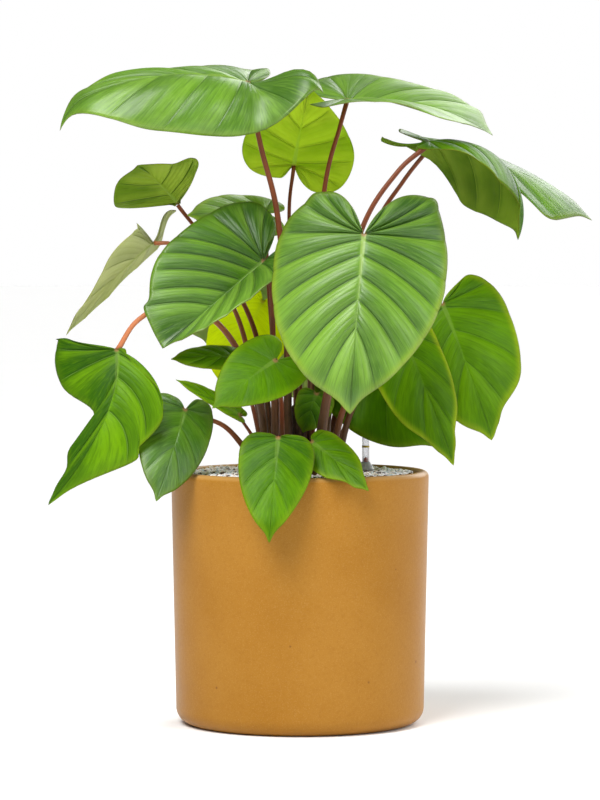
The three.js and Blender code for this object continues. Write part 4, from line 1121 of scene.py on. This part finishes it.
def chip(source, size):
    """A small crushed stone: a twisted, dented twenty-sided ball. Returns its points."""
    stretch = [source.uniform(0.65, 1.25) for _ in range(3)]
    turn = Vector([source.uniform(-1, 1) for _ in range(3)]).normalized()
    angle = source.uniform(0, 2 * math.pi)
    spin = Matrix.Rotation(angle, 3, turn)
    shaped = []
    for corner in ball_corners():
        dent = source.uniform(0.78, 1.12)
        p = Vector([c * k * dent for c, k in zip(corner, stretch)])
        shaped.append(spin @ (p * (size / 2 / BALL_REACH)))
    return shaped


def ball_faces():
    """Faces of the twenty-sided ball."""
    corners = [Vector(c) for c in ball_corners()]
    faces = []
    for i in range(12):
        for j in range(i + 1, 12):
            for k in range(j + 1, 12):
                p, q, r = corners[i], corners[j], corners[k]
                if max((p - q).length, (q - r).length, (r - p).length) < BALL_EDGE:
                    outward = (q - p).cross(r - p).dot(p + q + r) > 0
                    faces.append((i, j, k) if outward else (i, k, j))
    return faces


def loose_granules():
    """Loose crushed stones over the whole bed, one piece for each colour family."""
    source = random.Random(11)
    faces = ball_faces()
    meshes = {name: ([], []) for name in STONE_SHARES}
    edge = inner_radius(SOIL["level"]) - 2.2
    stems = [(*leaf["root"], leaf["stem"][0] + 1.2) for leaf in LEAVES]
    stems.append((CROWN["x"], CROWN["y"], CROWN["radius"] + 1.2))
    stems.append((GAUGE["x"], GAUGE["y"], GAUGE["dome_radius"] + 0.8))
    pitch = STONE_PITCH
    steps = int(edge / pitch) + 1
    for row in range(-steps, steps + 1):
        for column in range(-steps, steps + 1):
            x = (column + 0.5 * (row % 2) + source.uniform(-0.4, 0.4)) * pitch
            y = (row * 0.87 + source.uniform(-0.4, 0.4)) * pitch
            pick = source.random()
            size = source.uniform(*STONE_SIZES)
            points = chip(source, size)
            if math.hypot(x, y) > edge - size / 2:
                continue
            if any(math.hypot(x - sx, y - sy) < r + size / 2 for sx, sy, r in stems):
                continue
            total = 0
            for name, share in STONE_SHARES.items():
                total += share
                if pick < total:
                    break
            height = SOIL["level"] + 0.6 + source.uniform(-0.6, 1.7)
            mesh_points, mesh_faces = meshes[name]
            offset = len(mesh_points)
            mesh_points.extend((p.x + x, p.y + y, p.z + height) for p in points)
            mesh_faces.extend(tuple(c + offset for c in face) for face in faces)
    for name, (points, mesh_faces) in meshes.items():
        piece = "granules_" + name[5:]
        grit = new_object(piece, points, mesh_faces, [MATERIALS[name]], smooth=False)
        belongs(grit, "granules")


def crown():
    """Short dark stem with rings of old leaf scars."""
    sides = 40
    rings = 60
    foot = SOIL["level"] - HOLE_DEPTH + GAP
    points = []
    for ring in range(rings + 1):
        share = ring / rings
        height = foot + (HOLE_DEPTH + CROWN["height"] - 4) * share
        above = max(0.0, (height - SOIL["level"]) / CROWN["height"])
        scar = 0.5 + 0.5 * math.cos(2 * math.pi * above * 6)
        radius = CROWN["radius"] * (1 - CROWN["taper"] * above) * (1 - 0.05 * scar)
        radius *= 1 - 0.75 * max(0.0, (share - 0.93) / 0.07) ** 2
        for k in range(sides):
            angle = 2 * math.pi * k / sides
            x, y = math.cos(angle), math.sin(angle)
            crease = 0.05 * math.sin(5 * angle + 7 * share)
            crease += 0.04 * noise.noise(Vector((3 * x, 3 * y, 14 * share)))
            reach = radius * (1 - 0.05 + crease)
            points.append((CROWN["x"] + reach * x, CROWN["y"] + reach * y, height))
    faces = [list(range(sides))[::-1], [rings * sides + k for k in range(sides)]]
    faces += tube_faces(rings, sides)
    return belongs(new_object("old_stem", points, faces, [MATERIALS["crown"]]), "crown", "crown")


def gauge():
    """Water-level gauge: grey foot and guide, clear tube with two plain rings, red bob, cap."""
    g = GAUGE
    centre = (g["x"], g["y"])
    dome = SOIL["level"] + g["seat"]
    top = dome + g["dome_height"]
    throat = dome - g["throat_depth"]
    guide, wide, socket = g["guide_radius"], g["dome_radius"], g["socket_radius"]
    profile = [
        (g["guide_bore"], g["guide_foot"]), (guide, g["guide_foot"]),
        (guide, dome - 0.6), (guide + 0.5, dome - 0.4), (wide - 0.4, dome - 0.2),
        (wide, dome + 0.2), (wide, dome + 1.9), (wide - 0.35, dome + 2.3), (wide - 0.9, dome + 2.5),
        *arc((0, dome + 1.2), wide - 1.1, 10, 55, 8),
        (socket + 1.0, top - 0.5), (socket + 0.7, top), (socket, top),
        (socket, dome), (g["throat_radius"], dome), (g["throat_radius"], throat),
        (g["guide_bore"], throat),
    ]
    foot = turned("gauge_foot", profile, 48, "gauge_grey_plastic", centre)
    belongs(foot, "gauge_grey", "gauge_guide")

    low, high = dome + GAP, g["tube_top"]
    bore, outer = g["tube_bore"], g["tube_radius"]
    profile = [(bore, low), (outer, low), (outer, high), (bore, high)]
    tube = turned("gauge_clear_tube", profile, 48, "clear", centre)
    belongs(tube, "gauge_clear", "gauge_tube")

    for k, height in enumerate(GAUGE_RINGS):
        inner, proud = outer + 0.02, outer + 0.16
        profile = [
            (inner, height - 0.9), (proud, height - 0.8), (proud, height + 0.8), (inner, height + 0.9),
        ]
        ring = turned(f"gauge_ring_{k + 1}", profile, 48, "ring_yellow_ink", centre)
        belongs(ring, "gauge_clear")

    float_foot, float_top, bob, half = g["float_foot"], g["float_top"], g["bob_height"], g["bob_half"]
    body, rod, ball, cone = g["float_radius"], g["rod_radius"], g["bob_radius"], g["cone"]
    profile = [
        (0, float_foot), (body - 1, float_foot), (body, float_foot + 1),
        (body, float_top - 1), (body - 1, float_top), (rod, float_top + cone), (rod, bob - cone),
        (ball - 0.5, bob - half - 0.4), (ball, bob - half),
        (ball, bob + half), (ball - 0.5, bob + half + 0.4),
        (rod, bob + cone), (0, bob + cone + 0.4),
    ]
    red = turned("gauge_bob", profile, 32, "bob_red_plastic", centre)
    belongs(red, "gauge_red", "gauge_float")

    plug, plug_foot = bore - GAP, high - g["cap_depth"]
    cap_top = high + g["cap_height"]
    profile = [
        (0, plug_foot), (plug, plug_foot), (plug, high + GAP), (outer * 1.2, high + GAP),
        (outer * 1.2, cap_top - 1.5), (outer * 1.05, cap_top - 0.5), (outer * 0.85, cap_top),
        (0, cap_top),
    ]
    cap = turned("gauge_top_cap", profile, 32, "gauge_grey_plastic", centre)
    belongs(cap, "gauge_grey", "gauge_cap")


# Stage, light and camera. The focal length is in pixels of a picture 800 high

CAMERA_DISTANCE = 4000
CAMERA_HEIGHT = 523
CAMERA_PITCH = -2.457
FOCAL_PIXELS = 3684
PICTURE_LONG_SIDE = 800
SENSOR = 36
FLOOR_RADIUS = 40000
FLOOR_HEIGHT = -0.05
WORLD_SHOWN = 1.0
WORLD_LIGHT = 0.15


def camera():
    data = bpy.data.cameras.new("camera")
    data.sensor_width = SENSOR
    data.lens = FOCAL_PIXELS / PICTURE_LONG_SIDE * SENSOR
    obj = bpy.data.objects.new("camera", data)
    obj.location = (0, -CAMERA_DISTANCE * MM, CAMERA_HEIGHT * MM)
    obj.rotation_euler = (math.radians(90 + CAMERA_PITCH), 0, 0)
    bpy.context.scene.collection.objects.link(obj)
    bpy.context.scene.camera = obj


def floor():
    """Round floor, a hair under the pot."""
    sides = 64
    points = [(0, 0, FLOOR_HEIGHT), *circle(FLOOR_RADIUS, FLOOR_HEIGHT, sides)]
    faces = [[0, k + 1, (k + 1) % sides + 1] for k in range(sides)]
    new_object("studio_floor", points, faces, [MATERIALS["floor"]])


def add_light(name, kind, place, target, power, **settings):
    data = bpy.data.lights.new(name, kind)
    data.energy = power
    for key, value in settings.items():
        setattr(data, key, value)
    obj = bpy.data.objects.new(name, data)
    obj.location = place
    obj.rotation_euler = (Vector(target) - Vector(place)).to_track_quat("-Z", "Y").to_euler()
    obj.visible_camera = False
    bpy.context.scene.collection.objects.link(obj)


def softbox(name, place, target, size, power):
    add_light(name, "AREA", place, target, power, shape="RECTANGLE", size=size[0], size_y=size[1])


def lights():
    """White surroundings, dimmer as light than to the eye, two broad suns and softboxes round the pot."""
    world = bpy.data.worlds.new("studio")
    bpy.context.scene.world = world
    world.use_nodes = True
    nodes = world.node_tree.nodes
    links = world.node_tree.links
    shown = nodes.new("ShaderNodeBackground")
    lighting = nodes["Background"]
    for background, strength in ((shown, WORLD_SHOWN), (lighting, WORLD_LIGHT)):
        background.inputs["Color"].default_value = (1, 1, 1, 1)
        background.inputs["Strength"].default_value = strength
    rays = nodes.new("ShaderNodeLightPath")
    both = nodes.new("ShaderNodeMixShader")
    links.new(rays.outputs["Is Camera Ray"], both.inputs["Fac"])
    links.new(lighting.outputs[0], both.inputs[1])
    links.new(shown.outputs[0], both.inputs[2])
    links.new(both.outputs[0], nodes["World Output"].inputs["Surface"])
    middle = (0, 0, 0.4)
    add_light("overhead", "SUN", (-0.5, -0.7, 2.0), (0, 0, 0), 1.7, angle=math.radians(28))
    add_light("behind", "SUN", (1.3, 2.0, 1.4), (0, 0, 0), 2.4, angle=math.radians(50))
    softbox("key_left", (-1.0, -2.1, 2.3), middle, (1.4, 1.4), 70)
    softbox("fill_right", (1.9, -1.9, 1.5), middle, (1.0, 1.2), 20)
    softbox("side_left", (-2.1, 0.4, 0.85), (0, 0, 0.45), (0.25, 1.4), 0.8)
    softbox("side_right", (2.2, 0.3, 0.75), (0, 0, 0.35), (1.5, 1.3), 10)


MATERIALS = dict(
    petiole=petiole_material(), crown=crown_material(), glaze=glaze_material(), clear=clear_material(),
    floor=floor_material(),
)
for name, tints in STONES.items():
    MATERIALS[name] = stone_material(name, *tints)
for name, looks in PLASTICS.items():
    MATERIALS[name] = plastic_material(name, *looks)
for look, palette in PALETTES.items():
    for face, upper in (("upper", True), ("under", False)):
        name = look + "_" + face
        MATERIALS[name] = leaf_material(name, upper, palette)

bpy.context.scene.view_settings.view_transform = "Standard"
camera()
lights()
floor()
LEAVES = [{**USUAL, **leaf} for leaf in LEAVES]
pot()
granule_bed()
loose_granules()
crown()
gauge()
for number, entry in enumerate(LEAVES):
    petiole(entry)
    blade(entry, number)
